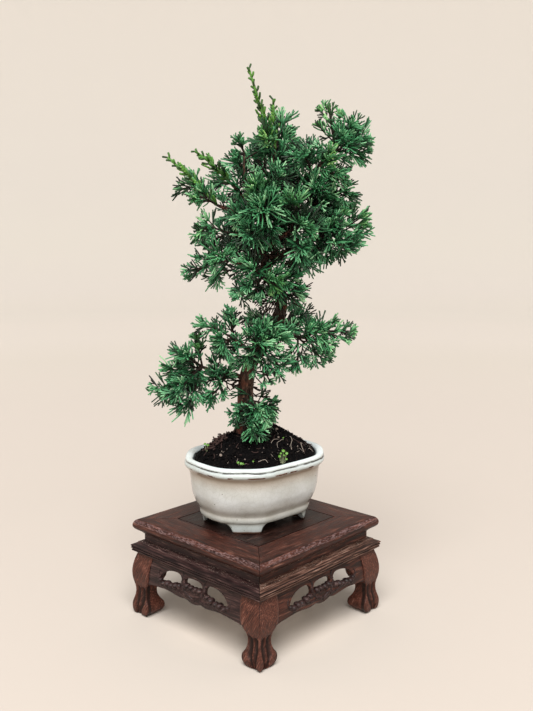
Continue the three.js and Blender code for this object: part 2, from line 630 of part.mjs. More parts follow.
// Where a pad's shoots start: a short stem's length past the end of its branch.
function padFrame(name) {
  const { end, heading, radius } = branchEnd(name);
  const start = end.clone().addScaledVector(heading, FIT_GAP);
  const hub = start.clone().addScaledVector(heading, 2.4);
  const base = [start.toArray(), hub.clone().addScaledVector(heading, 0.6).toArray()];
  record(base, [radius, radius], `${name} base`);
  const shoots = PADS[name].map(([tip, reach, sag], i) => {
    const points = shootPoints(hub.toArray(), tip, sag);
    const stem = `${name} ${i}`;
    record(points, [CORE_RADIUS, CORE_RADIUS, CORE_RADIUS], stem);
    return { points, reach, stem };
  });
  return { name, base, radius, shoots };
}

const pads = Object.keys(PADS).map(padFrame);
pads.forEach(({ name, base, radius, shoots }, padIndex) => {
  const random = randomFrom(padIndex + 3);
  const stem = limb(base, [radius, radius * 0.9], 5, 1);
  const cores = shoots.map((shoot) => bristledCore(shoot.points, shoot.reach, shoot.stem, random));
  tree.add(named(`foliage_${name}`, fuse([stem, ...cores]), 0x1f5c3a, 0.7));
});

const bonsai = new THREE.Group();
bonsai.add(stand, pot, tree);

export default bonsai;
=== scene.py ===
# %% [markdown]
# # A kishu juniper bonsai in its pot, on a carved stand
#
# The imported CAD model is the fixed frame: it says where each piece is and how large. Blender adds what a
# viewer sees: the wood and its carving, the glaze, the soil and the thousands of scale cords of the tree.

# %% Load the frame
import math
import random

import bmesh
import bpy
from mathutils import Matrix, Vector, noise


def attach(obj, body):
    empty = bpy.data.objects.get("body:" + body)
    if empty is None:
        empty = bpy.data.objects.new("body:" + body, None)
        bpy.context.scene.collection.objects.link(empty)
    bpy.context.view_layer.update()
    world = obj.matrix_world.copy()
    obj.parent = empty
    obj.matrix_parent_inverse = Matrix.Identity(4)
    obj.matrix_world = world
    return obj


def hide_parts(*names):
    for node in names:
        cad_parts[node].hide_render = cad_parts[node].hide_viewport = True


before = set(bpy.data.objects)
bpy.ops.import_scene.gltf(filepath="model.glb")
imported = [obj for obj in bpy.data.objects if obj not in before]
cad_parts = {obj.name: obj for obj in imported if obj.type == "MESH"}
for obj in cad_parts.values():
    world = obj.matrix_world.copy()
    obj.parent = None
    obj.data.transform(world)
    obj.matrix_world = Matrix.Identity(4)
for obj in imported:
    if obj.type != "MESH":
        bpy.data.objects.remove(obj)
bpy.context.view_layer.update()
MM = 0.001
QUARTER = math.pi / 2

# %% [markdown]
# ## The camera
#
# The photograph looks at one corner of the stand from slightly above. Two things fix such a camera: the
# stand is square and level, and its edges run to two vanishing points. The camera is placed from those, with
# the lens that makes the stand's mitred frame, ledge and feet fall on their pictures.

# %% Camera
CAMERA_PLACE = Vector((-0.4976, -0.4748, 0.3271))
CAMERA_BACK = Vector((-0.7240, -0.6735, 0.1492))
CAMERA_LENS = 42.58


def add_object(name, data):
    """A new object in the scene, at the origin."""
    thing = bpy.data.objects.new(name, data)
    bpy.context.scene.collection.objects.link(thing)
    return thing


camera = add_object("camera", bpy.data.cameras.new("camera"))
camera.data.lens = CAMERA_LENS
camera.data.clip_start = 0.01
camera.location = CAMERA_PLACE
camera.rotation_euler = (-CAMERA_BACK).to_track_quat("-Z", "Y").to_euler()
bpy.context.scene.camera = camera
print("camera to stand:", round(CAMERA_PLACE.length, 3), "m")

# %% [markdown]
# ## Colours and nodes
#
# A colour read off a screen is sRGB, while Blender mixes light in linear values, so every hex colour goes
# through one function. A second small function adds a shader node, sets it, links it and hands on its
# output, so that a material reads from top to bottom like a recipe.


# %% Colours
def linear(hex_colour, alpha=1.0):
    """An sRGB colour such as '8a5a3c' as the linear values that the shaders mix."""
    steps = [int(hex_colour[i : i + 2], 16) / 255 for i in (0, 2, 4)]
    return [s / 12.92 if s <= 0.04045 else ((s + 0.055) / 1.055) ** 2.4 for s in steps] + [alpha]


BLACK, WHITE = "000000", "ffffff"
print("a screen's middle grey in linear light:", round(linear("808080")[0], 3))


# %% Materials and their nodes
def new_material(name, **values):
    """A material and its shader; names such as Base_Color become Base Color."""
    material = bpy.data.materials.new(name)
    material.use_nodes = True
    shader = material.node_tree.nodes["Principled BSDF"]
    for key, value in values.items():
        shader.inputs[key.replace("_", " ")].default_value = value
    return material, shader


def feed(material, shader, **sockets):
    """Links sockets into the shader, named in the same way."""
    for key, socket in sockets.items():
        material.node_tree.links.new(socket, shader.inputs[key.replace("_", " ")])


def add_node(material, kind, inputs=None, output=None, stops=(), **settings):
    """Adds a shader node and returns its first live output, or the one that is named.

    Inputs are sockets to link, hex colours or plain values. Stops are the (position, hex colour) of a ramp.
    """
    node = material.node_tree.nodes.new("ShaderNode" + kind)
    for name, value in settings.items():
        setattr(node, name, value)
    for key, value in (inputs or {}).items():
        if isinstance(value, bpy.types.NodeSocket):
            material.node_tree.links.new(value, node.inputs[key])
        else:
            node.inputs[key].default_value = linear(value) if isinstance(value, str) else value
    if stops:
        elements = node.color_ramp.elements
        while len(elements) < len(stops):
            elements.new(0.5)
        for element, (position, hex_colour) in zip(elements, stops):
            element.position = position
            element.color = linear(hex_colour)
    return node.outputs[output] if output else next(s for s in node.outputs if s.enabled)


trial, trial_shader = new_material("trial")
print("settings of the shader:", len(trial_shader.inputs))
bpy.data.materials.remove(trial)


# %% Recipes that several materials share
FIRST_COLOUR, SECOND_COLOUR = 6, 7  # the mix node's inputs for colours


def tint(material, body, mask, strength, colour):
    """Lays a colour over the body where the mask is white, as strong as the strength says."""
    share = add_node(material, "Math", {0: mask, 1: strength}, operation="MULTIPLY")
    inputs = {0: share, FIRST_COLOUR: body, SECOND_COLOUR: colour}
    return add_node(material, "Mix", inputs, data_type="RGBA")


def bands(material, height, blur, *spans):
    """1 between the two heights of each span and 0 outside, with soft edges; heights in millimetres."""
    mask = 0.0
    for low, high in spans:
        up, down = [
            add_node(material, "MapRange", {
                "Value": height, "From Min": (edge - way * blur) * MM, "From Max": (edge + way * blur) * MM,
            })
            for edge, way in ((low, 1), (high, -1))
        ]
        both = add_node(material, "Math", {0: up, 1: down}, operation="MULTIPLY")
        mask = add_node(material, "Math", {0: mask, 1: both}, operation="MAXIMUM")
    return mask


def plain_material(name, hex_colour, roughness):
    """A material of one colour, for pieces too small to show a pattern."""
    material, _ = new_material(name, Base_Color=linear(hex_colour), Roughness=roughness)
    print(name, hex_colour)
    return material


# %% [markdown]
# ## Studio
#
# The photograph has a seamless beige sweep and light so soft that the shadows have no edge. A wide bowl does
# the same from every side: a flat floor that curves up all round, beyond the camera. One large softbox, high
# and behind the camera, gives the shape, and the even light of the room fills the carving. The paper's tone
# is painted: paler and warmer under the stand, as painted bounce light in its shadow, and darker near the
# middle, where the lamp is nearest, as painted shade.

# %% Stage
# The paper's tone at each share of 5 m from the middle, with painted light in it. The lamp is nearest the
# middle, so the paper is darker there as painted shade. Right under the stand it is paler and warmer, as
# painted bounce light in the stand's shadow.
PAINTED_LIGHT_BACKDROP_TONES = [
    (0, "f6e6d7"), (0.007, "f1e3d5"), (0.0135, "c1b7ad"), (0.02, "b7afa7"),
    (0.035, "b7aea6"), (0.08, "b8afa7"), (0.18, "c0b7af"), (0.3, "cac2b9"),
    (0.38, "d3cbc3"), (0.46, "d9d1c9"), (0.52, "dbd4cc"), (0.58, "dad3cb"),
    (0.62, "d9d2cb"), (0.72, "d7d1c9"), (0.8, "d5cfc8"), (1, "d5cfc8"),
]
BACKDROP_REACH = 5.0
BOWL_FLAT = 2.6
BOWL_CURVE = 2.0
BOWL_STEPS = 16


def mesh_object(name, source, smooth=False):
    """Turns a bmesh into an object and frees it."""
    data = bpy.data.meshes.new(name)
    source.to_mesh(data)
    source.free()
    data.polygons.foreach_set("use_smooth", [smooth] * len(data.polygons))
    return add_object(name, data)


sweep = bmesh.new()
bmesh.ops.create_circle(sweep, cap_ends=True, segments=96, radius=BOWL_FLAT)
rim = [e for e in sweep.edges if e.is_boundary]
for step in range(1, BOWL_STEPS + 1):
    angle = step / BOWL_STEPS * QUARTER
    added = bmesh.ops.extrude_edge_only(sweep, edges=rim)["geom"]
    rim = [e for e in added if isinstance(e, bmesh.types.BMEdge) and e.is_boundary]
    reach = BOWL_FLAT + BOWL_CURVE * math.sin(angle)
    for vert in {v for e in rim for v in e.verts}:
        flat = Vector((vert.co.x, vert.co.y, 0)).normalized() * reach
        vert.co = flat + Vector((0, 0, BOWL_CURVE * (1 - math.cos(angle))))
stage = mesh_object("stage", sweep, smooth=True)

# Matt paper: rough, with hardly any shine.
backdrop, backdrop_shader = new_material("matt_paper_backdrop_with_painted_light", Roughness=0.95, Specular_IOR_Level=0.1)
place = add_node(backdrop, "TexCoord", output="Object")
reach = add_node(backdrop, "VectorMath", {0: place}, "Value", operation="LENGTH")
share = add_node(backdrop, "Math", {0: reach, 1: BACKDROP_REACH}, operation="DIVIDE")
# The ramp paints light and shade onto the paper: painted shade near the middle, painted bounce light under
# the stand.
tone = add_node(backdrop, "ValToRGB", {"Fac": share}, stops=PAINTED_LIGHT_BACKDROP_TONES)
feed(backdrop, backdrop_shader, Base_Color=tone)
stage.data.materials.append(backdrop)
print("stage faces:", len(stage.data.polygons))

# %% Light
LAMP_PLACE, LAMP_TARGET = Vector((-1.9, -1.68, 3.9)), Vector((0, 0, 0.2))

lamp = add_object("softbox", bpy.data.lights.new("softbox", "AREA"))
lamp.data.shape = "DISK"
lamp.data.size = 3.4
lamp.data.energy = 368
lamp.data.color = linear("fffefc")[:3]
lamp.location = LAMP_PLACE
lamp.rotation_euler = (LAMP_TARGET - LAMP_PLACE).to_track_quat("-Z", "Y").to_euler()
world = bpy.data.worlds.new("studio")
bpy.context.scene.world = world
world.use_nodes = True
world.node_tree.nodes["Background"].inputs["Color"].default_value = linear("fffaf3")
world.node_tree.nodes["Background"].inputs["Strength"].default_value = 0.55
bpy.context.scene.view_settings.view_transform = "Standard"
print("lamp to tree:", round((LAMP_TARGET - LAMP_PLACE).length, 2), "m")

# %% [markdown]
# ## Scale cords
#
# A kishu juniper has no needles. Its leaves are scales pressed tight round a twig, so each twig looks like a
# green cord a little over a millimetre thick with a blunt end. Thousands of them make the tree. They could
# be hair, but an export drops hair, or copies of one model, but every spray differs. Here each cord is a
# short line of points with a thickness at each, and Blender's geometry nodes turn all lines of a spray into
# tubes.


# %% Lines into tubes
def tube_maker(sides):
    """A node group that gives every line of a mesh a round section of its own thickness."""
    group = bpy.data.node_groups.new(f"tubes_{sides}", "GeometryNodeTree")
    group.interface.new_socket("Geometry", in_out="INPUT", socket_type="NodeSocketGeometry")
    group.interface.new_socket("Geometry", in_out="OUTPUT", socket_type="NodeSocketGeometry")
    add = group.nodes.new
    section = add("GeometryNodeCurvePrimitiveCircle")
    section.inputs["Resolution"].default_value = sides
    section.inputs["Radius"].default_value = 1.0
    thickness = add("GeometryNodeInputNamedAttribute")
    thickness.data_type = "FLOAT"
    thickness.inputs["Name"].default_value = "thickness"
    to_mesh = add("GeometryNodeCurveToMesh")
    to_mesh.inputs["Fill Caps"].default_value = True
    chain = [
        add("NodeGroupInput"), add("GeometryNodeMeshToCurve"), to_mesh,
        add("GeometryNodeSetShadeSmooth"), add("NodeGroupOutput"),
    ]
    for before, after in zip(chain, chain[1:]):
        group.links.new(before.outputs[0], after.inputs[0])
    group.links.new(section.outputs["Curve"], to_mesh.inputs["Profile Curve"])
    group.links.new(thickness.outputs["Attribute"], to_mesh.inputs["Scale"])
    return group


CORD_SIDES, STEM_SIDES = 5, 8
TUBES = {sides: tube_maker(sides) for sides in (CORD_SIDES, STEM_SIDES)}


def tubes(name, lines, sides=CORD_SIDES):
    """A mesh object of round tubes from lines of (point, radius, tone, youth, along)."""
    net = bmesh.new()
    layers = [net.verts.layers.float.new(key) for key in ("thickness", "tone", "youth", "along")]
    for line in lines:
        before = None
        for point, *values in line:
            vert = net.verts.new(point)
            for layer, value in zip(layers, values):
                vert[layer] = value
            if before:
                net.edges.new((before, vert))
            before = vert
    piece = mesh_object(name, net)
    piece.modifiers.new("tubes", "NODES").node_group = TUBES[sides]
    return piece


def settle(piece):
    """Applies the piece's modifiers and keeps the result as its mesh."""
    graph = bpy.context.evaluated_depsgraph_get()
    finished = bpy.data.meshes.new_from_object(piece.evaluated_get(graph))
    piece.modifiers.clear()
    piece.data = finished


print("tube makers:", [group.name for group in TUBES.values()])

# %% [markdown]
# ## Where the foliage grows
#
# The tree is drawn in its own axes: across its best side, away from the viewer, and up. Each spray grows
# from the end of one branch, and each of its shoots ends at a tip that was read off the photograph. The CAD
# model has the same main shoots, so both agree from every side.

# %% The tree's axes, trunk and branches
TREE_ANGLE = math.radians(-47)
TREE_TURN = Matrix.Rotation(TREE_ANGLE, 3, "Z")


def in_tree(across, away, up):
    """A place in the tree's axes, in millimetres, as a place in the scene."""
    return TREE_TURN @ Vector((across, away, up)) * MM


# The trunk's and each branch's knots: (across, away, up), radius.
TRUNK = [
    ((-10, 0, 148.3), 7.9), ((-10, 0, 158), 7.9), ((-10, 0, 167), 7.3), ((-9, 0, 184), 6.4),
    ((-8, 0, 203), 6.2), ((-3, 1, 219), 6), ((8, 3, 236), 5.5), ((17, 4, 252), 5.1),
    ((21.5, 3, 266), 4.8), ((17, 1, 279), 4.5), ((10, -1, 291), 4.3), ((6, -1, 310), 3.9),
    ((4, 0, 332), 3.4), ((8, 2, 352), 2.9), ((13, 3, 371), 2.3), ((16, 3, 386), 1.7),
]
BRANCHES = {
    "low_left": [((-9, 0, 203), 2.2), ((-20, 1, 208), 1.8), ((-32, 0, 209), 1.5), ((-42, 0, 213), 1.2)],
    "low_left_inner": [((-24, 1, 208.5), 1.3), ((-27, -2, 205), 1.1), ((-29, -4, 200), 0.9)],
    "trunk_base": [((-9, 0, 198), 1.8), ((-4, -8, 197), 1.3), ((-3, -11, 190), 1)],
    "middle_left": [((0, 1, 223), 2.2), ((-9, -6, 231), 1.8), ((-17, -12, 238), 1.3)],
    "middle_front": [((5, 2, 232), 2.2), ((2, -7, 234), 1.6), ((-1, -14, 234), 1.2)],
    "middle_right": [((15, 4, 248), 2.6), ((22, 0, 243), 2.1), ((32, -5, 240), 1.5)],
    "middle_back": [((19, 4, 256), 2.2), ((22, 12, 250), 1.6), ((21, 19, 246), 1.2)],
    "waist_left": [((9, -1, 294), 2.4), ((-6, -4, 297), 1.9), ((-19, -7, 301), 1.4)],
    "waist_front": [((14, 0, 284), 2.2), ((10, -8, 287), 1.6), ((6, -13, 288), 1.2)],
    "left_middle": [((5, -1, 316), 2.2), ((-8, -3, 320), 1.8), ((-19, -4, 323), 1.3)],
    "upper_left": [((4, 0, 333), 2.3), ((-14, 1, 339), 1.9), ((-29, 0, 345), 1.4)],
    "second_leader": [((5, 1, 340), 2), ((-8, 4, 351), 1.5), ((-18, 4, 361), 1.1)],
    "bare_stub": [((6, 1, 346), 1.8), ((-6, -2, 357), 1.3), ((-9, -4, 372), 1.1), ((-9, -4, 384), 0.9)],
    "crown_front": [((5, 0, 326), 2.2), ((8, -8, 333), 1.6), ((9, -14, 337), 1.2)],
    "crown_right_front": [((6, -1, 308), 2.5), ((16, -4, 317), 2), ((27, -9, 325), 1.4)],
    "right": [((7, -1, 303), 2.7), ((24, 3, 308), 2.2), ((40, 5, 314), 1.7), ((50, 4, 319), 1.3)],
    "right_upper": [((5, 1, 338), 2.3), ((22, 6, 340), 1.9), ((38, 8, 345), 1.3)],
    "upper_right": [((9, 2, 356), 2.4), ((28, 8, 362), 2), ((50, 7, 374), 1.6), ((62, 5, 386), 1.2)],
    "bright_patch": [((26, 8, 361.5), 1.5), ((36, 0, 366), 1.2), ((43, -4, 371), 1)],
    "top": [((13, 3, 370), 1.8), ((17, -1, 379), 1.4), ((16, -2, 387), 1.1)],
    "crown_back": [((6, -1, 312), 2.3), ((4, 9, 318), 1.8), ((3, 17, 324), 1.3)],
    "crown_back_right": [((5, 0, 322), 2.2), ((16, 11, 326), 1.8), ((25, 18, 331), 1.3)],
    "crown_back_top": [((10, 2, 360), 1.9), ((13, 11, 364), 1.4), ((14, 17, 369), 1.1)],
}
print("branches:", len(BRANCHES))

# %% The shoots
# Each shoot is [tip, reach of its side sprays, sag in the middle, how young it is from 0 to 1].
SHOOTS = {
    "low_left": [
        [(-82, -2, 186), 13, 3, 0.2], [(-74, 5, 204), 11, 2, 0.1], [(-50, 6, 241), 9, 0, 0.85],
        [(-58, -9, 174), 13, 1, 0], [(-64, -16, 229), 11, 1, 0.1], [(-62, 16, 196), 11, 0, 0],
        [(-69, -16, 187), 12, 3, 0],
    ],
    "low_left_inner": [
        [(-26, -12, 192), 7, 0, 0], [(-40, -18, 189), 9, 0, 0], [(-31, -16, 214), 10, 1, 0],
        [(-20, -12, 216), 9, 1, 0],
    ],
    "trunk_base": [
        [(-4, -19, 166), 11, 0, 0.1], [(18, -19, 180), 10, 2, 0.2], [(-17, -16, 176), 7, 0, 0],
        [(13, -21, 170), 11, 1, 0.1], [(-1, -25, 157), 10, 0, 0.1], [(2, -20, 176), 10, 0, 0.1],
        [(-20, -9, 169), 5, 0, 0],
    ],
    "middle_left": [
        [(-47, -10, 251), 10, 2, 0.2], [(-30, -30, 236), 13, 1, 0.1], [(-33, 4, 226), 8, 0, 0],
        [(-21, -10, 262), 11, 0, 0],
    ],
    "middle_front": [
        [(9, -35, 237), 14, 2, 0.2], [(-10, -27, 218), 11, 0, 0.2], [(25, -28, 214), 11, 1, 0],
        [(12, -22, 204), 5, 0, 0], [(13, -27, 254), 13, 1, 0.1], [(27, -24, 243), 13, 1, 0.1],
        [(-2, -26, 247), 13, 1, 0.1],
    ],
    "middle_right": [
        [(57, -16, 244), 13, 2, 0.2], [(82, -8, 242), 9, 4, 0.4], [(58, -4, 218), 10, 0, 0],
        [(34, -18, 213), 10, 0, 0], [(66, -14, 234), 9, 1, 0.2],
    ],
    "middle_back": [[(46, 26, 252), 12, 2, 0], [(-8, 40, 242), 14, 3, 0], [(22, 44, 234), 13, 1, 0]],
    "waist_left": [[(-57, -8, 287), 9, 3, 0.1], [(-32, -30, 304), 14, 2, 0.2], [(-36, 12, 284), 13, 0, 0]],
    "waist_front": [
        [(-6, -34, 300), 14, 2, 0.1], [(20, -30, 279), 12, 0, 0.7], [(-20, -20, 274), 12, 0, 0],
        [(36, -18, 288), 13, 0, 0.1], [(40, -12, 272), 12, 0, 0], [(-4, -16, 271), 10, 0, 0],
    ],
    "left_middle": [[(-49, -8, 326), 11, 3, 0.4], [(-42, 12, 312), 11, 1, 0.1]],
    "upper_left": [[(-70, -3, 383), 11, 2, 0.9], [(-51, -12, 353), 10, 2, 0.4], [(-60, 12, 366), 10, 2, 0.3]],
    "second_leader": [[(-48, 0, 388), 11, 2, 0.9], [(-34, 16, 364), 10, 1, 0.1]],
    "bare_stub": [[(-15, -5, 399), 7, 0, 0.3], [(-16, -10, 382), 6, 0, 0.1]],
    "crown_front": [
        [(2, -40, 342), 15, 2, 0.1], [(-2, -28, 366), 14, 1, 0.5], [(-18, -28, 334), 12, 1, 0.1],
        [(14, -30, 316), 14, 1, 0], [(-8, -30, 314), 14, 1, 0], [(20, -26, 372), 13, 1, 0.1],
    ],
    "crown_right_front": [
        [(44, -34, 326), 15, 2, 0.2], [(30, -34, 352), 15, 1, 0.5], [(40, -22, 297), 14, 0, 0],
    ],
    "right": [
        [(91, -3, 331), 13, 3, 0.5], [(61, 12, 299), 11, 1, 0], [(76, -22, 308), 13, 2, 0.1],
        [(48, -8, 299), 11, 0, 0], [(86, -10, 318), 11, 2, 0.1], [(66, -14, 333), 13, 1, 0.1],
        [(58, 16, 327), 13, 1, 0],
    ],
    "right_upper": [
        [(79, 0, 358), 13, 3, 0.2], [(56, -14, 346), 13, 1, 0.1], [(70, 22, 342), 14, 2, 0],
        [(77, 2, 342), 12, 2, 0.1], [(52, -18, 362), 14, 1, 0.1], [(58, 4, 330), 13, 0, 0],
    ],
    "upper_right": [
        [(58, 4, 424), 9, 0, 0.7], [(80, -6, 409), 13, 2, 0.1], [(90, 6, 384), 13, 3, 0.1],
        [(40, 18, 388), 11, 1, 0.1], [(70, 20, 402), 13, 1, 0.1], [(92, 0, 400), 13, 2, 0.1],
        [(78, -14, 392), 14, 2, 0],
    ],
    "bright_patch": [
        [(62, -22, 384), 14, 1, 0.8], [(36, -26, 386), 14, 0, 0.1], [(74, -12, 366), 13, 1, 0.2],
    ],
    "top": [
        [(-5, -2, 451), 8, -3, 1], [(31, 0, 400), 11, 1, 0.2], [(4, -16, 400), 13, 1, 0.8],
        [(14, 8, 429), 8, 0, 0.9], [(0, 8, 392), 11, 1, 0.1], [(24, 4, 416), 12, 1, 0.1],
    ],
    "crown_back": [
        [(-22, 42, 340), 15, 2, 0.1], [(6, 48, 316), 15, 2, 0.1], [(-26, 30, 308), 14, 1, 0],
        [(-4, 36, 358), 14, 1, 0.2],
    ],
    "crown_back_right": [
        [(44, 44, 336), 15, 2, 0.1], [(56, 26, 306), 14, 1, 0], [(34, 36, 294), 14, 0, 0],
        [(36, 34, 366), 14, 1, 0.2],
    ],
    "crown_back_top": [
        [(18, 42, 384), 14, 1, 0.2], [(-14, 24, 382), 13, 1, 0.1], [(40, 26, 392), 14, 1, 0.1],
    ],
}
print("shoots:", sum(len(shoots) for shoots in SHOOTS.values()))

# %% [markdown]
# ## One cord and one spray
#
# Cords are blunt and of one tone, dark only where they leave the twig: partly older scales, partly painted
# shade of the dense spray. A spray is flat, like a fern: its cords leave the middle one left and right in
# turn at about thirty degrees, bend back towards it, and end near one arc. Crossed sheets of leaf would be
# lighter, but they turn to lines when they are seen from the side, so every cord is a real one.

# %% One cord
CORD_RADIUS = 0.57
SHORT_CORD = 5  # a cord shorter than this needs no bend in its middle


def perpendicular(direction, turn):
    """A unit vector square to the direction, turned about it."""
    side = direction.cross(Vector((0.3, 0.2, 0.93))).normalized()
    return Matrix.Rotation(turn, 3, direction) @ side


def cord(lines, root, heading, onward, length, radius, tone, youth):
    """One blunt cord that leaves along heading and bends onward; millimetres in the tree's axes."""
    middle = root + heading * (0.5 * length)
    way = (heading + onward * 0.6).normalized()
    # Each stop is a place, its share of the thickness and its share of the length.
    stops = [
        (root, 0.85, 0), (middle, 1, 0.5),
        (middle + way * (0.44 * length), 0.97, 0.94), (middle + way * (0.5 * length), 0.55, 1),
    ]
    if length < SHORT_CORD:
        del stops[1]
    # The tone falls towards the root: partly older scales, partly painted shade where the cord leaves its
    # twig.
    lines.append([
        (in_tree(*point), radius * share * MM, tone * min(1, 0.35 + 1.3 * t), youth, t * length)
        for point, share, t in stops
    ])


print("cord thickness:", 2 * CORD_RADIUS, "mm")

# %% One spray
SIDE_CORD_PITCH = 2.8
FORKED_FROM = 5.5  # millimetres; every second side cord that is longer has a fork


def fan(lines, root, direction, length, youth, tone, draw):
    """A flat spray like a fern: a middle cord and side cords, left and right in turn, some with a fork."""
    radius = CORD_RADIUS * (1 + 0.2 * youth)
    flat = perpendicular(direction, draw.uniform(0, math.tau))
    edge = flat.cross(direction)
    onward = (direction + edge * draw.uniform(-0.5, 0.5)).normalized()
    cord(lines, root, direction, onward, length, radius, tone * 1.05, youth)
    count = max(3, round(length * 0.8 / (SIDE_CORD_PITCH - 0.6 * youth)))
    hand = draw.choice((-1, 1))
    for i in range(count):
        hand = -hand
        along = (0.04 + 0.76 * (i + draw.uniform(0.25, 0.75)) / count) * length
        lean = hand * draw.uniform(0.4, 0.75)
        heading = direction * math.cos(lean) + flat * math.sin(lean) + edge * draw.uniform(-0.25, 0.25)
        heading.normalize()
        reach = (1 - 0.4 * youth) * (length - along) * draw.uniform(0.7, 1.2) + 1.8
        here, shade = root + direction * along, tone * draw.uniform(0.65, 1.2)
        cord(lines, here, heading, direction, reach, radius * 0.97, shade, youth)
        if reach > FORKED_FROM and i % 2:
            outward = (heading + flat * hand * 0.5).normalized()
            fork = here + heading * (0.4 * reach)
            cord(lines, fork, outward, heading, 0.5 * reach, radius * 0.94, shade, youth)


trial = []
fan(trial, Vector(), Vector((1, 0, 0)), 12, 0, 0.5, random.Random(1))
print("cords in a spray of 12 mm:", len(trial))


# %% Curves through knots
def along_curve(knots, t):
    """A point on the smooth curve through three or more knots, and the way the curve runs there."""
    place = t * (len(knots) - 1)
    i = min(int(place), len(knots) - 2)
    t = place - i
    a, b = knots[i], knots[i + 1]
    before = knots[i - 1] if i else a * 2 - b
    after = knots[i + 2] if i + 2 < len(knots) else b * 2 - a
    into, out = (b - before) / 2, (after - a) / 2
    point = a * (2 * t**3 - 3 * t**2 + 1) + into * (t**3 - 2 * t**2 + t)
    point += b * (3 * t**2 - 2 * t**3) + out * (t**3 - t**2)
    slope = a * (6 * t**2 - 6 * t) + into * (3 * t**2 - 4 * t + 1)
    slope += b * (6 * t - 6 * t**2) + out * (3 * t**2 - 2 * t)
    return point, slope.normalized()


def places_of(knots):
    """The places of (place, radius) knots."""
    return [Vector(place) for place, _ in knots]


def length_of(places):
    """The length of the straight lines from place to place."""
    return sum((b - a).length for a, b in zip(places, places[1:]))


print("trunk along its bends:", round(length_of(places_of(TRUNK))), "mm")

# %% [markdown]
# ## Shoots
#
# A shoot bears sprays all round it, every few millimetres, each turned by the golden angle from the one
# before so that none shades another. A young leader that grows out of the outline is another thing: a thick
# green stem with short stubs all round it, so it looks like coral. Both are grown by a rule round a curve,
# because no two are alike and none can be copied cord by cord.

# %% Young leaders
GOLDEN_TURN = 2.4
LEADER_YOUTH = 0.85  # a shoot that is younger grows as a leader
LEADER_PITCH = 2.1
STUB_PITCH = 2.3


def stubs(lines, root, direction, length, youth, draw):
    """A young side twig: a short cord with stubs in pairs."""
    cord(lines, root, direction, direction, length, 0.8, 0.6, youth)
    flat = perpendicular(direction, draw.uniform(0, math.tau))
    for i in range(int(length / STUB_PITCH)):
        for hand in (-1, 1):
            heading = (direction + flat * hand * 0.8).normalized()
            here = root + direction * (1 + STUB_PITCH * i)
            cord(lines, here, heading, direction, 3.6 - 0.1 * i, 0.72, draw.uniform(0.4, 0.8), youth)


def grow_leader(lines, knots, youth, draw):
    """A young leader: a thick green stem with stubs all round and small side twigs low down."""
    length = length_of(knots)
    steps = round(length / LEADER_PITCH)
    turn = draw.uniform(0, math.tau)
    stem = []
    for i in range(steps + 1):
        t = i / steps
        here, ahead = along_curve(knots, t)
        stem.append((in_tree(*here), (1.5 - 0.6 * t) * MM, 0.35 + 0.3 * t, youth, t * length))
        turn += GOLDEN_TURN
        heading = (perpendicular(ahead, turn) + ahead * 0.9).normalized()
        reach = (9.5 - 4.8 * t) * draw.uniform(0.75, 1.15)
        cord(lines, here, heading, ahead, reach, 1.05 - 0.15 * t, 0.2 + 0.45 * draw.random(), youth)
        if i % 4 == 1 and t < 0.78:
            rising = (heading + ahead).normalized()
            stubs(lines, here, rising, (6 + 18 * (1 - t)) * draw.uniform(0.5, 1.0), youth, draw)
    lines.append(stem)


trial = []
grow_leader(trial, [Vector((0, 0, z)) for z in (0, 30, 60)], 1, random.Random(1))
print("cords on a leader of 60 mm:", len(trial))

# %% Shoots
SPRAY_PITCH = 5.6
BARE_FOOT = 2.5  # millimetres without sprays where a shoot starts
SPRAY_LIFT = Vector((0, 0, 0.24))  # sprays turn towards the light


def sprays_round(lines, here, ahead, turn, t, reach, youth, draw):
    """Two sprays at one place of a shoot; returns the turn for the next ones."""
    for _ in range(2):
        turn += GOLDEN_TURN + draw.uniform(-0.3, 0.3)
        lean = 0.9 - 0.3 * t + draw.uniform(-0.35, 0.35)
        direction = perpendicular(ahead, turn) * math.sin(lean) + ahead * math.cos(lean)
        direction = (direction + SPRAY_LIFT).normalized()
        # Sprays near a shoot's foot are a little darker: painted shade of the pad's inside.
        tone = 0.08 + 0.8 * draw.random() + 0.1 * t
        fan(lines, here, direction, reach * draw.uniform(0.7, 1.4), 0.7 * youth * t, tone, draw)
    return turn


def grow_shoot(lines, twigs, knots, reach, youth, draw, branching=True):
    """A twig with sprays all round it, and with lesser shoots of the same kind."""
    length = length_of(knots)
    last = max(0.3, 1 - 0.8 * reach / length)
    leader = youth > LEADER_YOUTH
    if leader:
        grow_leader(lines, knots, youth, draw)
    steps = max(2, round(length * last / SPRAY_PITCH))
    turn = draw.uniform(0, math.tau)
    foot_radius = 0.9 if branching else 0.65
    stem = []
    for i in range(steps + 1):
        t = last * i / steps
        here, ahead = along_curve(knots, t)
        stem.append((in_tree(*here), (foot_radius - 0.3 * t) * MM, 0, 0, t * length))
        if t * length >= BARE_FOOT and not (leader and t > 0.42):
            turn = sprays_round(lines, here, ahead, turn, t, reach, youth, draw)
    twigs.append(stem)
    if leader:
        return
    tip, ahead = along_curve(knots, last)
    # The end sprays get middle tones, never the darkest: partly younger growth, partly painted light on the
    # pad's outside.
    for k in range(2):
        direction = (ahead + perpendicular(ahead, turn + 2.6 * k) * 0.3).normalized()
        span = (1 - last) * length * draw.uniform(0.85, 1.1)
        fan(lines, tip, direction, span, 0.8 * youth, draw.uniform(0.45, 0.85), draw)
    if branching:
        lesser_shoots(lines, twigs, knots, length, last, reach, youth, draw)


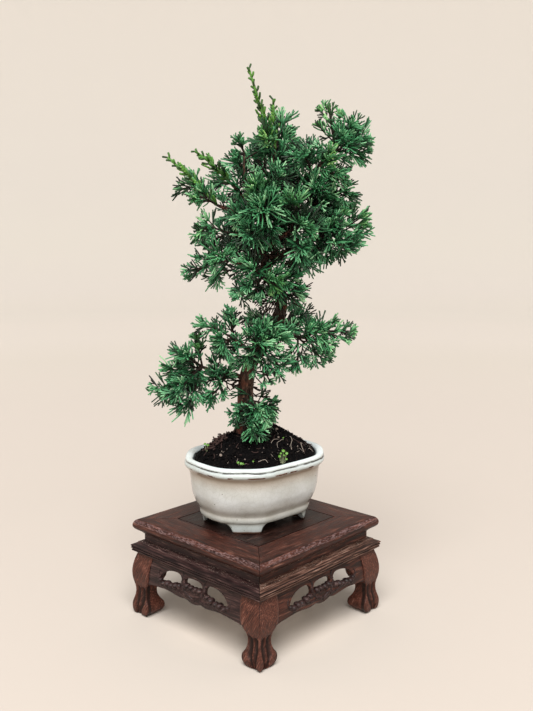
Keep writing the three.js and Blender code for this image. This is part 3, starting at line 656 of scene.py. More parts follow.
def lesser_shoots(lines, twigs, knots, length, last, reach, youth, draw):
    """Three shoots that leave a shoot left and right in turn and don't branch again."""
    hand = draw.uniform(0, math.tau)
    for t in (0.2, 0.42, 0.62):
        here, ahead = along_curve(knots, min(last, t) + draw.uniform(-0.05, 0.05))
        hand += math.pi + draw.uniform(-0.7, 0.7)
        heading = (perpendicular(ahead, hand) * 0.8 + ahead).normalized()
        span = max(reach, (0.62 - 0.3 * t) * length)
        bend = here + heading * span * 0.5 + ahead * 0.5
        tip = here + heading * span * 0.9 + ahead * span * 0.15
        grow_shoot(lines, twigs, [here, bend, tip], reach * 0.85, youth * 0.8, draw, branching=False)


def clothe_branch(lines, twigs, knots, draw, start=0.3, every=8.5, reach=(10, 14)):
    """Short shoots that leave a branch before its end."""
    count = max(1, round(length_of(knots) * (1 - start) / every))
    turn = draw.uniform(0, math.tau)
    for i in range(count):
        here, ahead = along_curve(knots, start + (1 - start) * (i + 0.5) / count)
        turn += 2.2 + draw.uniform(-0.4, 0.4)
        heading = (perpendicular(ahead, turn) + ahead * 0.6).normalized()
        span = draw.uniform(13, 21)
        bend = here + heading * span * 0.5 + Vector((0, 0, 0.8))
        grow_shoot(
            lines, twigs, [here, bend, here + heading * span], draw.uniform(*reach), 0, draw, branching=False
        )


trial = []
grow_shoot(trial, [], [Vector((0, 0, z)) for z in (0, 25, 50)], 12, 0, random.Random(1))
print("cords on a shoot of 50 mm:", len(trial))

# %% [markdown]
# ## Foliage and bark materials
#
# Scale leaves are waxy: a bluish, slightly whitish green where they are old, and a yellow green where they
# are young. Each point of a cord carries a tone and its youth, which picks the ramp. The tone is dark where
# the cord leaves its twig, partly older scales and partly painted shade, and a little darker on sprays near a
# shoot's foot, as painted shade of the pad's inside. The scales overlap every 1.1 mm along a cord, which a
# small bump shows in close views. Bark is matt and fibrous, in three tones, with reddish patches where a
# strip was torn off. Pictures of leaves or bark would need a flat layout of every tube, while noise and
# attributes need none.

# %% Foliage material
SCALE_PITCH = 1.1
OLD_GREENS = [(0.0, "020903"), (0.22, "0a2613"), (0.45, "1d5632"), (0.7, "498c5f"), (1.0, "92c195")]
YOUNG_GREENS = [(0.0, "081603"), (0.3, "20420d"), (0.65, "4a7d23"), (1.0, "96bb4a")]


def foliage_material():
    """Waxy leaf: a soft, broad highlight over greens that drift a little from spray to spray."""
    material, shader = new_material("waxy_scale_leaves", Roughness=0.42, Specular_IOR_Level=0.36)
    tone, youth, along = [
        add_node(material, "Attribute", output="Fac", attribute_name=name)
        for name in ("tone", "youth", "along")
    ]
    place = add_node(material, "TexCoord", output="Object")
    drift = add_node(material, "TexNoise", {"Vector": place, "Scale": 40.0, "Detail": 2.0})
    raised = add_node(material, "Math", {0: drift, 1: 0.4, 2: tone}, operation="MULTIPLY_ADD")
    level = add_node(material, "Math", {0: raised, 1: 0.2}, operation="SUBTRACT")
    old = add_node(material, "ValToRGB", {"Fac": level}, stops=OLD_GREENS)
    young = add_node(material, "ValToRGB", {"Fac": level}, stops=YOUNG_GREENS)
    phase = add_node(material, "Math", {0: along, 1: math.tau / SCALE_PITCH}, operation="MULTIPLY")
    scales = add_node(material, "Math", {0: phase}, operation="SINE")
    bump = add_node(material, "Bump", {"Height": scales, "Strength": 0.25, "Distance": 0.0002})
    feed(material, shader, Base_Color=tint(material, old, youth, 1.0, young), Normal=bump)
    return material


FOLIAGE = foliage_material()
print("foliage nodes:", len(FOLIAGE.node_tree.nodes))

# %% Bark material
PAINTED_SHADE_FOOT = (130, 177)  # heights in millimetres between which the trunk's bark is painted dark: painted shade under the low sprays


def bark_material(name, dark, middle, light, torn):
    """Dry, matt bark: ribs in three tones, patches where the strips were torn off, and painted shade at the
    trunk's foot.
    """
    material, shader = new_material(name, Roughness=0.85, Specular_IOR_Level=0.25)
    place = add_node(material, "TexCoord", output="Object")
    stretch = add_node(material, "Mapping", {"Vector": place, "Scale": (1, 1, 0.22)})
    fibres = add_node(material, "TexNoise", {
        "Vector": stretch, "Scale": 900.0, "Detail": 4.0, "Roughness": 0.65,
    })
    patches = add_node(material, "TexNoise", {"Vector": place, "Scale": 120.0, "Detail": 3.0})
    colour = add_node(material, "ValToRGB", {"Fac": fibres}, stops=[
        (0.3, dark), (0.52, middle), (0.72, light),
    ])
    height = add_node(material, "SeparateXYZ", {"Vector": place}, "Z")
    # Painted shade: the trunk's foot, under the lowest sprays, is darkened nearly to black.
    colour = tint(material, colour, bands(material, height, 10, PAINTED_SHADE_FOOT), 0.8, "120b08")
    fresh = add_node(material, "ValToRGB", {"Fac": patches}, stops=[(0.5, BLACK), (0.62, WHITE)])
    colour = tint(material, colour, fresh, 0.4, torn)
    bump = add_node(material, "Bump", {"Height": fibres, "Strength": 0.6, "Distance": 0.0006})
    feed(material, shader, Base_Color=colour, Normal=bump)
    return material


BARK = bark_material("shedding_juniper_bark", "0e0806", "382820", "7a5f4e", "713a29")
TWIG = bark_material("thin_twig_bark", "0c0806", "1f1711", "3c2c20", "2c1a14")
print("bark nodes:", len(BARK.node_tree.nodes))

# %% [markdown]
# ## The foliage of each branch
#
# Every branch end bears one pad of foliage, and each pad here stands in for the plain one of the CAD model.
# Pads could be one cloud of cords over the crown, but a pad for each branch keeps the layers and the gaps
# between them. Inside the crown the light is too weak for leaves, so the sprays there have lost their scales
# and only their bare cords are left, most of all between the crown and the pads below it.


# %% Grow every spray
STEM_LENGTH = 2.7  # millimetres of stem between a branch's end and its shoots


def dress(piece, material):
    """Applies a tube piece, gives it its material and body, and counts its triangles."""
    settle(piece)
    piece.data.materials.clear()
    piece.data.materials.append(material)
    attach(piece, "root")
    piece.data.calc_loop_triangles()
    return len(piece.data.loop_triangles)


triangles = 0
for index, (name, branch) in enumerate(BRANCHES.items()):
    draw = random.Random(index + 11)
    branch_places = places_of(branch)
    before, end = branch_places[-2:]
    hub = end + (end - before).normalized() * STEM_LENGTH
    lines, twigs = [], []
    for tip, reach, sag, youth in SHOOTS[name]:
        middle = (hub + Vector(tip)) / 2 + Vector((0, 0, sag))
        grow_shoot(lines, twigs, [hub, middle, Vector(tip)], reach, youth, draw)
    clothe_branch(lines, twigs, branch_places, draw)
    twigs.append([(in_tree(*end), 1.2 * MM, 0, 0, 0), (in_tree(*hub), 1.0 * MM, 0, 0, 3)])
    spray, stems = tubes(f"spray_{name}", lines), tubes(f"twigs_{name}", twigs, STEM_SIDES)
    count = dress(spray, FOLIAGE)
    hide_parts(f"foliage_{name}")
    triangles += count + dress(stems, TWIG)
    print(f"{name}: {len(lines)} cords, {count} triangles")


# %% Bare sprays
def dead_sprays(lines, knots, every, reach, rise, draw):
    """Sprays that have lost their scales, all round a limb."""
    turn = 0.0
    limb_places = places_of(knots)
    count = round(length_of(limb_places) / every)
    for i in range(count):
        here, ahead = along_curve(limb_places, (i + draw.random()) / count)
        turn += GOLDEN_TURN
        heading = (perpendicular(ahead, turn) + Vector((0, 0, rise))).normalized()
        fan(lines, here, heading, draw.uniform(*reach), 0, 0, draw)


draw = random.Random(17)
dead = []
dead_sprays(dead, TRUNK[8:11], 1.8, (18, 28), 0, draw)
dead_sprays(dead, TRUNK[10:15], 4, (18, 28), 0.3, draw)
dead_sprays(dead, TRUNK[3:8], 9, (9, 17), -0.2, draw)
for branch in BRANCHES.values():
    dead_sprays(dead, branch, 9, (10, 18), -0.1, draw)
print("dead cords:", len(dead), "triangles:", dress(tubes("dead_sprays", dead), TWIG))

# %% Short growth on the trunk, which fills the crown's inside
draw = random.Random(5)
lines, twigs = [], []
clothe_branch(lines, twigs, places_of(TRUNK[9:]), draw, start=0.08, every=5, reach=(12, 15))
triangles += dress(tubes("spray_inside_crown", lines), FOLIAGE)
triangles += dress(tubes("twigs_inside_crown", twigs, STEM_SIDES), TWIG)
print("foliage triangles:", triangles)

# %% [markdown]
# ## Trunk and branches
#
# Juniper bark sheds in long fibrous strips, so the trunk is ribbed along its length, reddish where the old
# strip has just come off and grey brown where it has weathered. A skin or remesh would lose that direction.
# Here each limb is a circle that is extruded ring by ring along its curve, and each point of a ring moves in
# or out by a noise that is stretched along the limb, so the ribs follow every bend.


# %% Rings and finished pieces
def grow_rings(mesh, count, sides):
    """Yields rings of points, each extruded from the one before, and closes both ends."""
    ring = bmesh.ops.create_circle(mesh, cap_ends=False, segments=sides, radius=1.0)["verts"]
    edges = list(dict.fromkeys(e for v in ring for e in v.link_edges))
    bmesh.ops.contextual_create(mesh, geom=edges)
    for i in range(count):
        if i:
            made = bmesh.ops.extrude_edge_only(mesh, edges=edges)["geom"]
            ring = [v for v in made if isinstance(v, bmesh.types.BMVert)]
            edges = [e for e in made if isinstance(e, bmesh.types.BMEdge) and all(v in ring for v in e.verts)]
        yield ring
    bmesh.ops.contextual_create(mesh, geom=edges)


def finish_mesh(name, mesh, material, replaced=None, smooth=True, crease=None):
    """Turns a bmesh into a piece with its normals outward; a crease is the angle of a sharp edge."""
    bmesh.ops.recalc_face_normals(mesh, faces=mesh.faces)
    piece = mesh_object(name, mesh, smooth)
    piece.data.materials.append(material)
    if crease:
        piece.data.set_sharp_from_angle(angle=math.radians(crease))
    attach(piece, "root")
    if replaced:
        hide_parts(replaced)
    return piece


trial = bmesh.new()
for _ in grow_rings(trial, 3, 8):
    pass
print("faces of a closed tube of three rings:", len(trial.faces))
trial.free()


# %% Limbs
def bark_relief(angle, along, radius, seed):
    """How far the bark stands out, as a share of the radius."""
    around = Vector((math.cos(angle), math.sin(angle), 0)) * (0.9 + 0.12 * radius)
    ribs = noise.noise(around * 2.4 + Vector((seed, 0, along * 0.035)))
    furrow = abs(noise.noise(around * 4.5 + Vector((0, seed, along * 0.06))))
    lump = noise.noise(around * 0.8 + Vector((seed, seed, along * 0.045)))
    return 0.10 * ribs - 0.16 * (0.35 - min(0.35, furrow)) + 0.12 * lump


def limb(mesh, places, radii, sides, pitch, seed, flare=0.0):
    """Extrudes a ring along the places, all in millimetres in the tree's axes."""
    length = length_of(places)
    rows = max(4, round(length / pitch))
    side = Vector((0.31, 0.95, 0.12))
    for i, ring in enumerate(grow_rings(mesh, rows + 1, sides)):
        t = i / rows
        here, ahead = along_curve(places, t)
        side = (side - ahead * side.dot(ahead)).normalized()
        across = side.cross(ahead)
        place = t * (len(radii) - 1)
        k = min(int(place), len(radii) - 2)
        radius = radii[k] + (radii[k + 1] - radii[k]) * (place - k)
        along = t * length
        for j, vert in enumerate(ring):
            angle = math.tau * j / sides
            spread = radius * (1 + bark_relief(angle, along, radius, seed))
            spread += flare * math.exp(-along / 6) * (1 + 0.5 * math.sin(3 * angle + seed))
            vert.co = in_tree(*(here + (side * math.cos(angle) + across * math.sin(angle)) * spread))


wood_mesh = bmesh.new()
limb(wood_mesh, places_of(TRUNK), [r for _, r in TRUNK], 32, 1.3, 3.1, flare=2.2)
for index, branch in enumerate(BRANCHES.values()):
    limb(wood_mesh, places_of(branch), [r * 1.02 for _, r in branch], 12, 1.6, index + 7.7)
tree_wood = finish_mesh("bark_trunk_and_branches", wood_mesh, BARK, "trunk_and_branches")
print("wood faces:", len(tree_wood.data.polygons))

# %% [markdown]
# ## Rings of points
#
# Most pieces below are rings of points with skin between them: a moulding, a leg, the pot. One helper
# extrudes a circle from ring to ring and lets the piece say where each point goes.


# %% Ringed bodies
def ringed_body(rings, place, steps):
    """A bmesh through the rings; place turns a ring and a share of a turn into a place."""
    mesh = bmesh.new()
    for i, circle in enumerate(grow_rings(mesh, len(rings), steps)):
        for j, vert in enumerate(circle):
            vert.co = place(rings[i], (j + 0.5) / steps)
    return mesh


def smooth_points(knots, cuts):
    """More points on a smooth curve through flat (across, height) knots."""
    points = [Vector((across, height, 0)) for across, height in knots]
    spans = cuts * (len(knots) - 1)
    return [tuple(along_curve(points, i / spans)[0].xy) for i in range(spans + 1)]


print("points on a smooth corner:", len(smooth_points([(0, 0), (1, 0), (1, 1)], 4)))

# %% [markdown]
# ## The stand's wood
#
# The stand is a dark tropical hardwood with an open, feathered grain: near black bands beside reddish brown
# fibres. Each piece is cut with its grain along its length, so a ring pattern through the whole stand would
# look carved from one block. Each piece gets noise that is stretched along its own grain, and a finer one of
# pale worn fibres. Dust sits in the joints, which an oiled stand always shows.

# %% Hardwood
FIBRE_MM = 0.9  # real pores are 0.2 mm; drawn coarser so that they show in the picture
FEATHER_MM = 3.2
DASH_MM = 2.6
GRAIN_STOPS = (0.36, 0.44, 0.5, 0.57, 0.67)
# Heights in millimetres: the frame's nose, pale with rubbed wear and painted sheen, the ledge's quirks, dark
# with dirt and painted shade, and the dusty joints.
NOSE = (80.2, 83.35)
QUIRKS = ((57.6, 58.2), (59.6, 60.2), (61.7, 62.2))
JOINTS = ((70.6, 72.3), (63.9, 65.6))


def grain(material, turned, scale, size, **values):
    """Noise of a size in millimetres, stretched by the scale."""
    stretched = add_node(material, "Mapping", {"Vector": turned, **scale})
    return add_node(material, "TexNoise", {"Vector": stretched, "Scale": 1000 / size, **values})


def hardwood(name, grain_turn, tones, figure=0.35):
    """Oiled hardwood, silky on its fibres; the turn lays the grain, figure is the broad pattern's share."""
    material, shader = new_material(name, Specular_IOR_Level=0.22)
    place = add_node(material, "TexCoord", output="Object")
    turned = add_node(material, "Mapping", {"Vector": place, "Rotation": grain_turn})
    fibres = grain(material, turned, {"Scale": (0.06, 1, 1)}, FIBRE_MM, Detail=3.0, Roughness=0.6)
    feather = grain(material, turned, {"Scale": (0.12, 1, 1)}, FEATHER_MM, Detail=4.0, Distortion=1.2)
    fine = add_node(material, "Math", {0: fibres, 1: 1 - figure}, operation="MULTIPLY")
    share = add_node(material, "Math", {0: feather, 1: figure, 2: fine}, operation="MULTIPLY_ADD")
    body = add_node(material, "ValToRGB", {"Fac": share}, stops=list(zip(GRAIN_STOPS, tones)))
    worn = add_node(material, "ValToRGB", {"Fac": fibres}, stops=[(0.64, BLACK), (0.74, WHITE)])
    body = tint(material, body, worn, 0.35, "8f7468")

    height = add_node(material, "SeparateXYZ", {"Vector": place}, "Z")
    # Pale slanting dashes on the frame's nose: partly rubbed wear, partly a painted sheen of the figure.
    slant = {"Rotation": (0, 0.6, 0), "Scale": (1, 0.3, 6)}
    dashes = grain(material, turned, slant, DASH_MM, Detail=2.0, Distortion=0.6)
    wear_and_sheen = add_node(material, "ValToRGB", {"Fac": dashes}, stops=[(0.47, BLACK), (0.62, WHITE)])
    nose_band = bands(material, height, 0.12, NOSE)
    nose = add_node(material, "Math", {0: wear_and_sheen, 1: nose_band}, operation="MULTIPLY")
    body = tint(material, body, nose, 0.6, "7c6666")
    # Dark lines in the ledge's quirks: partly dirt, partly painted shade of the grooves.
    body = tint(material, body, bands(material, height, 0.15, *QUIRKS), 0.85, "0b0504")
    grit = add_node(material, "TexNoise", {"Vector": place, "Scale": 1500.0, "Detail": 1.0})
    dust = add_node(material, "ValToRGB", {"Fac": grit}, stops=[(0.68, BLACK), (0.72, WHITE)])
    body = tint(material, body, dust, bands(material, height, 0.3, *JOINTS), "b5a598")
    # Painted shade in the grooves of the legs' paws, and a dark line down their outer ridge, from a vertex
    # attribute.
    shade_and_dark_line = add_node(material, "Attribute", output="Fac", attribute_name="shade_and_dark_line")
    body = tint(material, body, shade_and_dark_line, 1.0, "120806")

    gloss = add_node(material, "MapRange", {
        "Value": fibres, "From Min": 0.3, "From Max": 0.7, "To Min": 0.36, "To Max": 0.62,
    })
    bump = add_node(material, "Bump", {"Height": share, "Strength": 0.5, "Distance": 0.0005})
    feed(material, shader, Base_Color=body, Roughness=gloss, Normal=bump)
    return material


ALONG_X, ALONG_Y = (0, 0, 0), (0, 0, -QUARTER)
DARK_TONES = ("120705", "200e0a", "321710", "45241b", "674236")
# Shaded tones: a darker, cooler copy of the wood, as painted shade on the sides that run away from the front.
SHADED_TONES = ("100708", "1b0f0f", "2c1b1a", "3c2927", "5c4642")
# Lit tones: a paler copy, partly dust and partly painted light, for the front ledge.
LIT_TONES = ("1f1310", "36231c", "4b342b", "5d4238", "7c6358")
# Vine tones: a darker copy of the shaded wood, as painted shade on the carving.
SHADED_VINE_TONES = ("0d0605", "180d0c", "261716", "352322", "51403e")
# Panel tones: a darker copy of the wood, as painted shade under the pot.
SHADED_PANEL_TONES = ("0a0403", "130805", "1e0e0a", "2b1610", "422a22")
WARM_TONES = ("29140e", "391d15", "47261c", "553026", "6d463a")
WOOD_ALONG_X = hardwood("feathered_hardwood_along_x", ALONG_X, DARK_TONES)
WOOD_ALONG_Y = hardwood("feathered_hardwood_along_y", ALONG_Y, DARK_TONES)
WOOD_LIT = hardwood("lit_and_dusty_ledge_hardwood", ALONG_X, LIT_TONES, 0)
WOOD_SHADED_VINES = hardwood("shaded_hardwood_of_the_vines", (0, 0, 0.6), SHADED_VINE_TONES)
WOOD_SHADED = hardwood("shaded_hardwood_along_y", ALONG_Y, SHADED_TONES)
WOOD_PANEL = hardwood("shaded_panel_hardwood", ALONG_X, SHADED_PANEL_TONES, 0.2)
WOOD_LEG = hardwood("carved_leg_hardwood", (0, QUARTER, 0.5), WARM_TONES, 0.12)
print("hardwood nodes:", len(WOOD_LEG.node_tree.nodes))

# %% [markdown]
# ## Frame, waist and ledge
#
# The top is four rails, mitred at the corners, with a run moulding on the outer edge. A moulding is a
# profile pushed along a line, so its outline is extruded from mitre to mitre. The outer edge is rounded by a
# smooth curve through the frame's own corners, and each length waves by a tenth of a millimetre, as wood
# that was planed by hand does. The ledge gets three fine reeds under its lip.

# %% Mouldings
RAIL_EDGE = [
    (67.4, 71.1), (68.6, 72.4), (70.8, 73.9), (73.2, 75.7), (74.3, 77.8), (74.3, 79.6), (73.8, 81.2),
    (72.8, 82.6), (71.4, 83.5), (69.6, 83.8),
]
RAIL_BACK = [(47.5, 83.8), (47.5, 78), (42, 78), (42, 71.1)]
WAIST_OUTLINE = [(61.5, 65.1), (67.1, 65.1), (67.1, 71.1), (61.5, 71.1)]
LEDGE_OUTLINE = [
    (57, 56.1), (73.6, 56.1), (74.9, 56.3), (75.3, 57), (74.9, 57.6), (74.3, 57.9), (75.1, 58.2),
    (75.7, 58.9), (75.4, 59.6), (74.8, 59.9), (75.4, 60.2), (75.9, 60.8), (75.5, 61.5), (74.6, 61.9),
    (74.2, 62.1), (73.2, 62.6), (71.6, 63.2), (71.1, 64.1), (69.4, 64.6), (67.6, 65.1), (57, 65.1),
]
STRIP_GAP = 0.25
SIDES = ["front", "right", "back", "left"]
CORNERS = ["front_left", "front_right", "back_right", "back_left"]


def mitred_strip(name, outline, side, material):
    """A moulding from mitre to mitre on one side of the stand, replacing its plain node."""
    turn = Matrix.Rotation(SIDES.index(side) * QUARTER, 3, "Z")

    def place(end, share):
        out, height = outline[int(share * len(outline))]
        wave = 0.12 * noise.noise(Vector((end * 9, height * 0.3, SIDES.index(side) * 5)))
        return turn @ Vector((end * (out - STRIP_GAP), -out - wave * (out > 66), height)) * MM

    mesh = ringed_body([i / 20 - 1 for i in range(41)], place, len(outline))
    finish_mesh(f"{name}_{side}", mesh, material, f"stand_{name}_{side}", crease=32)


rail_outline = smooth_points(RAIL_EDGE, 3) + RAIL_BACK
print("points on the frame's outline:", len(rail_outline))

# %% [markdown]
# ## Legs
#
# Each leg is one carved post: square under the ledge with a crisp outer ridge, a round shoulder, a thin
# ankle and a paw. From the ankle down, grooves part the tendons and then the toes, on the two outer faces
# only. The leg is built in rings from the floor up. Each ring is a square that follows the leg's outline,
# and the carving is a depth that is taken off the outer faces, so it needs no cutting tools.

# %% Legs
LEG_SECTIONS = [
    (0, 73.4, 11), (0.9, 74.3, 14.6), (2.2, 74.8, 17.2), (5.5, 75.3, 19.7), (10, 75.2, 19.4),
    (14, 74.2, 15.8), (18, 73.2, 13.3), (22.5, 73, 13), (26.5, 73.6, 14.8), (30, 74.4, 18.4),
    (34, 75, 20.8), (40, 75, 21.4), (48, 73.6, 21), (56.1, 71, 19.5),
]
FLUTE_TOP, FLUTE_DEPTH = 26.5, 2.3


def leg_carving(across, height):
    """Depth in millimetres that the carver took off an outer face: two flutes with sharp ridges between."""
    foot = min(1, max(0, (17 - height) / 11))
    ridges = (0.11 + 0.1 * foot, 0.5 - 0.12 * foot, 0.98 - 0.38 * foot)
    depth = 0.0
    for first, last in zip(ridges, ridges[1:]):
        u = (across - first) / (last - first)
        if 0 < u < 1:
            arch = FLUTE_TOP - 2.6 * (2 * u - 1) ** 2 - height
            start = min(1, max(0, arch / 3.5)) ** 0.6
            depth = (FLUTE_DEPTH + 0.9 * max(0, 1 - height / 7)) * start * (1 - (2 * u - 1) ** 2) ** 0.8
    tip = max(0, 1 - height / 3.2)
    edge = max(0, (across - 0.86) / 0.14)
    depth += 0.8 * tip * tip + edge * edge * (0.6 + 1.6 * max(0, 1 - abs(height - 7) / 9))
    return depth


def leg_section(height):
    """The height again, the outer corner's distance and the width at a height."""
    upper = next((i for i, row in enumerate(LEG_SECTIONS) if i and row[0] >= height), len(LEG_SECTIONS) - 1)
    low, high = LEG_SECTIONS[upper - 1][0], LEG_SECTIONS[upper][0]
    t = min(1, max(0, (height - low) / (high - low)))
    return along_curve([Vector(row) for row in LEG_SECTIONS], (upper - 1 + t) / (len(LEG_SECTIONS) - 1))[0]


def leg_place(height, share):
    """A point of a leg's ring; the share runs over two outer faces and two inner ones."""
    _, corner, width = leg_section(height)
    rough = 0.12 * noise.noise(Vector((share * 40, height * 0.5, 3)))
    if share < 0.375:
        across = share / 0.375
        return Vector((-corner + across * width, -corner + leg_carving(across, height) + rough, height))
    if share < 0.5:
        return Vector((-corner + width - 0.4, -corner + (share - 0.375) / 0.125 * width, height))
    if share < 0.625:
        return Vector((-corner + (0.625 - share) / 0.125 * width, -corner + width - 0.4, height))
    across = (1 - share) / 0.375
    return Vector((-corner + leg_carving(across, height) + rough, -corner + across * width, height))


def carved_leg(index):
    """One leg, turned to its corner, with painted shade in the grooves of its paw and a dark line down its
    outer ridge.
    """
    turn = Matrix.Rotation(index * QUARTER, 3, "Z")
    heights = [0, 0.25, 0.6] + [1 + 0.75 * i for i in range(74)] + [56.1]
    mesh = ringed_body(heights, lambda z, share: turn @ leg_place(z, share) * MM, 160)
    shade_and_dark_line = mesh.verts.layers.float.new("shade_and_dark_line")
    for vert in mesh.verts:
        x, y, z = turn.inverted() @ vert.co / MM
        outer = min(x, y) + leg_section(z)[1]
        if outer < 5 and z < 28:
            vert[shade_and_dark_line] = min(0.9, 0.5 * max(0, outer - 0.3))
        elif z > 34 and abs(x - y) < 0.25 and x < 0:
            vert[shade_and_dark_line] = min(0.7, (z - 34) / 8)
    name = f"leg_{CORNERS[index]}"
    finish_mesh(name, mesh, WOOD_LEG, f"stand_{name}", crease=50)


print("leg at the ankle:", round(leg_section(20)[2], 1), "mm wide")

# %% [markdown]
# ## Aprons
#
# An apron is a thin board, pierced and then rounded with a gouge, with a vine carved over its lower half. A
# flat curve with holes makes the board, and the curve's own bevel rounds every edge of the piercing. The
# vine stands proud of the board, so it is a run of tubes whose thickness swells and shrinks like knuckles,
# half sunk into the face.

# %% Aprons
APRON_LOWER = [
    (0, 30.2), (3, 30.5), (5.5, 31.2), (9, 32.3), (14, 31.4), (20, 31.8), (27, 32.7), (34, 32.9), (44, 32),
    (50.9, 31.3), (56.5, 30),
]
APRON_SETBACK = 1.0
APRON_HOLE = [
    (13.6, 43.6), (14.4, 47.4), (17, 49.9), (22, 50.6), (30, 49.4), (36.4, 46), (39.6, 41.6), (38.4, 38.8),
    (33.4, 37.6), (27, 38), (20.4, 39.6), (15.6, 41),
]
APRON_EYE = [
    (10.2, 45.6), (9, 48.8), (4.4, 50.2), (-4.4, 50.2), (-9, 48.8), (-10.2, 45.6), (-7.2, 43.6), (0, 43.2),
    (7.2, 43.6),
]
# Knuckles of the vine along the lower edge of the openings: (along, height, radius).
KNOBS = [
    (16.4, 41.2, 2.4), (20.8, 40, 3), (26, 38.6, 2.6), (30.6, 38.8, 3), (35.6, 37.8, 2.8), (39.4, 39.8, 1.9),
    (2.6, 43.4, 2.4), (7.4, 43.6, 2.7),
]
# Carved vine on one half: each run is [(along, height, radius), ...].
VINES = [
    [(0, 34, 2.2), (5, 36.5, 2.6), (9, 38.2, 2), (12, 42, 1.9), (13, 46, 1.7), (12, 50, 1.8), (14, 53, 1.4)],
    [(3, 40, 1.6), (7, 41.5, 2), (11, 40.6, 1.6), (15, 39.6, 2.2), (18.5, 40, 1.6), (21, 38.6, 2.3)],
    [(9, 36, 1.8), (15, 35.8, 2.1), (21, 36.6, 1.7), (27, 37.2, 2.3), (32, 36.4, 1.8), (37, 37.6, 2.2),
     (41, 39.6, 1.8), (42.4, 43, 1.5), (41, 46.4, 1.2)],
    [(24, 38.6, 1.5), (27, 39.6, 2), (30, 38.2, 1.6), (33, 38, 1.9), (36, 39, 1.5)],
    [(0, 41.5, 1.8), (3.5, 43, 1.5), (6.5, 42.6, 1.6)],
]


def mirrored(points):
    """The same points on the apron's other half."""
    return [(-x, *rest) for x, *rest in points]


def closed_curve(points, cuts):
    """Points on a smooth closed curve."""
    knots = [Vector((x, z, 0)) for x, z in points[-1:] + points + points[:2]]
    spans = len(points) * cuts
    return [tuple(along_curve(knots, (1 + i / cuts) / (len(knots) - 1))[0].xy) for i in range(spans)]


def apron_swell(height):
    """How far the board bows out at a height, to lie flush with the legs."""
    return leg_section(height)[1] - APRON_SETBACK - 70


print("apron bows out by:", round(apron_swell(40), 1), "mm")


# %% The pierced board
HALF_BOARD, EDGE_ROUNDING = 1.1, 0.9  # millimetres; the rounding comes on top of the half thickness


def flat_board(outlines):
    """A flat curve with holes, made a mesh; the curve's own bevel rounds its edges."""
    curve = bpy.data.curves.new("apron", "CURVE")
    curve.dimensions, curve.fill_mode = "2D", "BOTH"
    curve.extrude, curve.bevel_depth, curve.offset = HALF_BOARD, EDGE_ROUNDING, -EDGE_ROUNDING
    curve.bevel_resolution = 3
    for outline in outlines:
        spline = curve.splines.new("POLY")
        spline.points.add(len(outline) - 1)
        for point, (x, y) in zip(spline.points, outline):
            point.co = (x, y, 0, 1)
        spline.use_cyclic_u = True
    flat = add_object("apron", curve)
    bpy.context.view_layer.update()
    data = bpy.data.meshes.new_from_object(flat)
    bpy.data.objects.remove(flat)
    return data


def apron_board(side, wood):
    """The pierced board, stood up on its side of the stand and bowed out to meet the legs."""
    lower = smooth_points(mirrored(APRON_LOWER[1:])[::-1] + APRON_LOWER, 4)
    holes = [closed_curve(hole, 5) for hole in (APRON_HOLE, mirrored(APRON_HOLE), APRON_EYE)]
    data = flat_board([lower + [(56.5, 56.1), (-56.5, 56.1)], *holes])
    turn = Matrix.Rotation(SIDES.index(side) * QUARTER, 4, "Z")
    stand_up = Matrix.Translation((0, -68, 0)) @ Matrix.Rotation(QUARTER, 4, "X")
    data.transform(Matrix.Scale(MM, 4) @ turn @ stand_up)
    mesh = bmesh.new()
    mesh.from_mesh(data)
    bmesh.ops.remove_doubles(mesh, verts=mesh.verts, dist=0.00001)
    bmesh.ops.triangulate(mesh, faces=mesh.faces)
    for height in range(32, 56, 2):
        cut = mesh.verts[:] + mesh.edges[:] + mesh.faces[:]
        bmesh.ops.bisect_plane(mesh, geom=cut, plane_co=(0, 0, height * MM), plane_no=(0, 0, 1))
    outward = turn.to_3x3() @ Vector((0, -1, 0))
    for vert in mesh.verts:
        vert.co += outward * apron_swell(vert.co.z / MM) * MM
    finish_mesh(f"apron_{side}", mesh, wood, f"stand_apron_{side}", crease=40)


board = flat_board([closed_curve(APRON_HOLE, 5)])
print("faces of a board in the shape of one opening:", len(board.polygons))
bpy.data.meshes.remove(board)

# %% The vine
VINE_DEPTH, KNOB_DEPTH = 69.5, 69.2  # millimetres from the stand's middle


def apron_vine(side):
    """The carved vine: swelling runs with round knuckles, half sunk into the board."""
    turn = Matrix.Rotation(SIDES.index(side) * QUARTER, 3, "Z")
    draw = random.Random(SIDES.index(side))
    lines = []
    for hand in (1, -1):
        for run in VINES:
            knots = [Vector(knot) for knot in run]
            count = 5 * (len(run) - 1)
            line = []
            for i in range(count + 1):
                x, z, radius = along_curve(knots, i / count)[0]
                swell = radius * (0.8 + 0.22 * math.sin(2.4 * i + hand) + draw.uniform(-0.06, 0.06))
                here = turn @ Vector((hand * x, -VINE_DEPTH - apron_swell(z), z)) * MM
                line.append((here, swell * 0.8 * MM, 0, 0, 0))
            lines.append(line)
    dress(tubes(f"vine_{side}", lines, STEM_SIDES), WOOD_SHADED_VINES)
    knob_mesh = bmesh.new()
    for x, z, radius in KNOBS + mirrored(KNOBS):
        spot = turn @ Vector((x, -KNOB_DEPTH - apron_swell(z), z)) * MM
        shape = Matrix.Translation(spot) @ turn.to_4x4() @ Matrix.Diagonal([1, 1.25, 0.9, 1])
        bmesh.ops.create_icosphere(knob_mesh, subdivisions=3, radius=radius * MM, matrix=shape)
    finish_mesh(f"knobs_{side}", knob_mesh, WOOD_SHADED_VINES)


print("runs of vine on one half:", len(VINES))

# %% [markdown]
# ## The stand, side by side
#
# The four sides are alike, but their grain runs along each side, and their wood differs: the ledge in front
# is paler, partly dust and partly painted light, and the two sides that run away from the front get darker,
# cooler tones as painted shade. One loop builds each side in turn and gives it its own wood, instead of four
# mirrored copies of one.

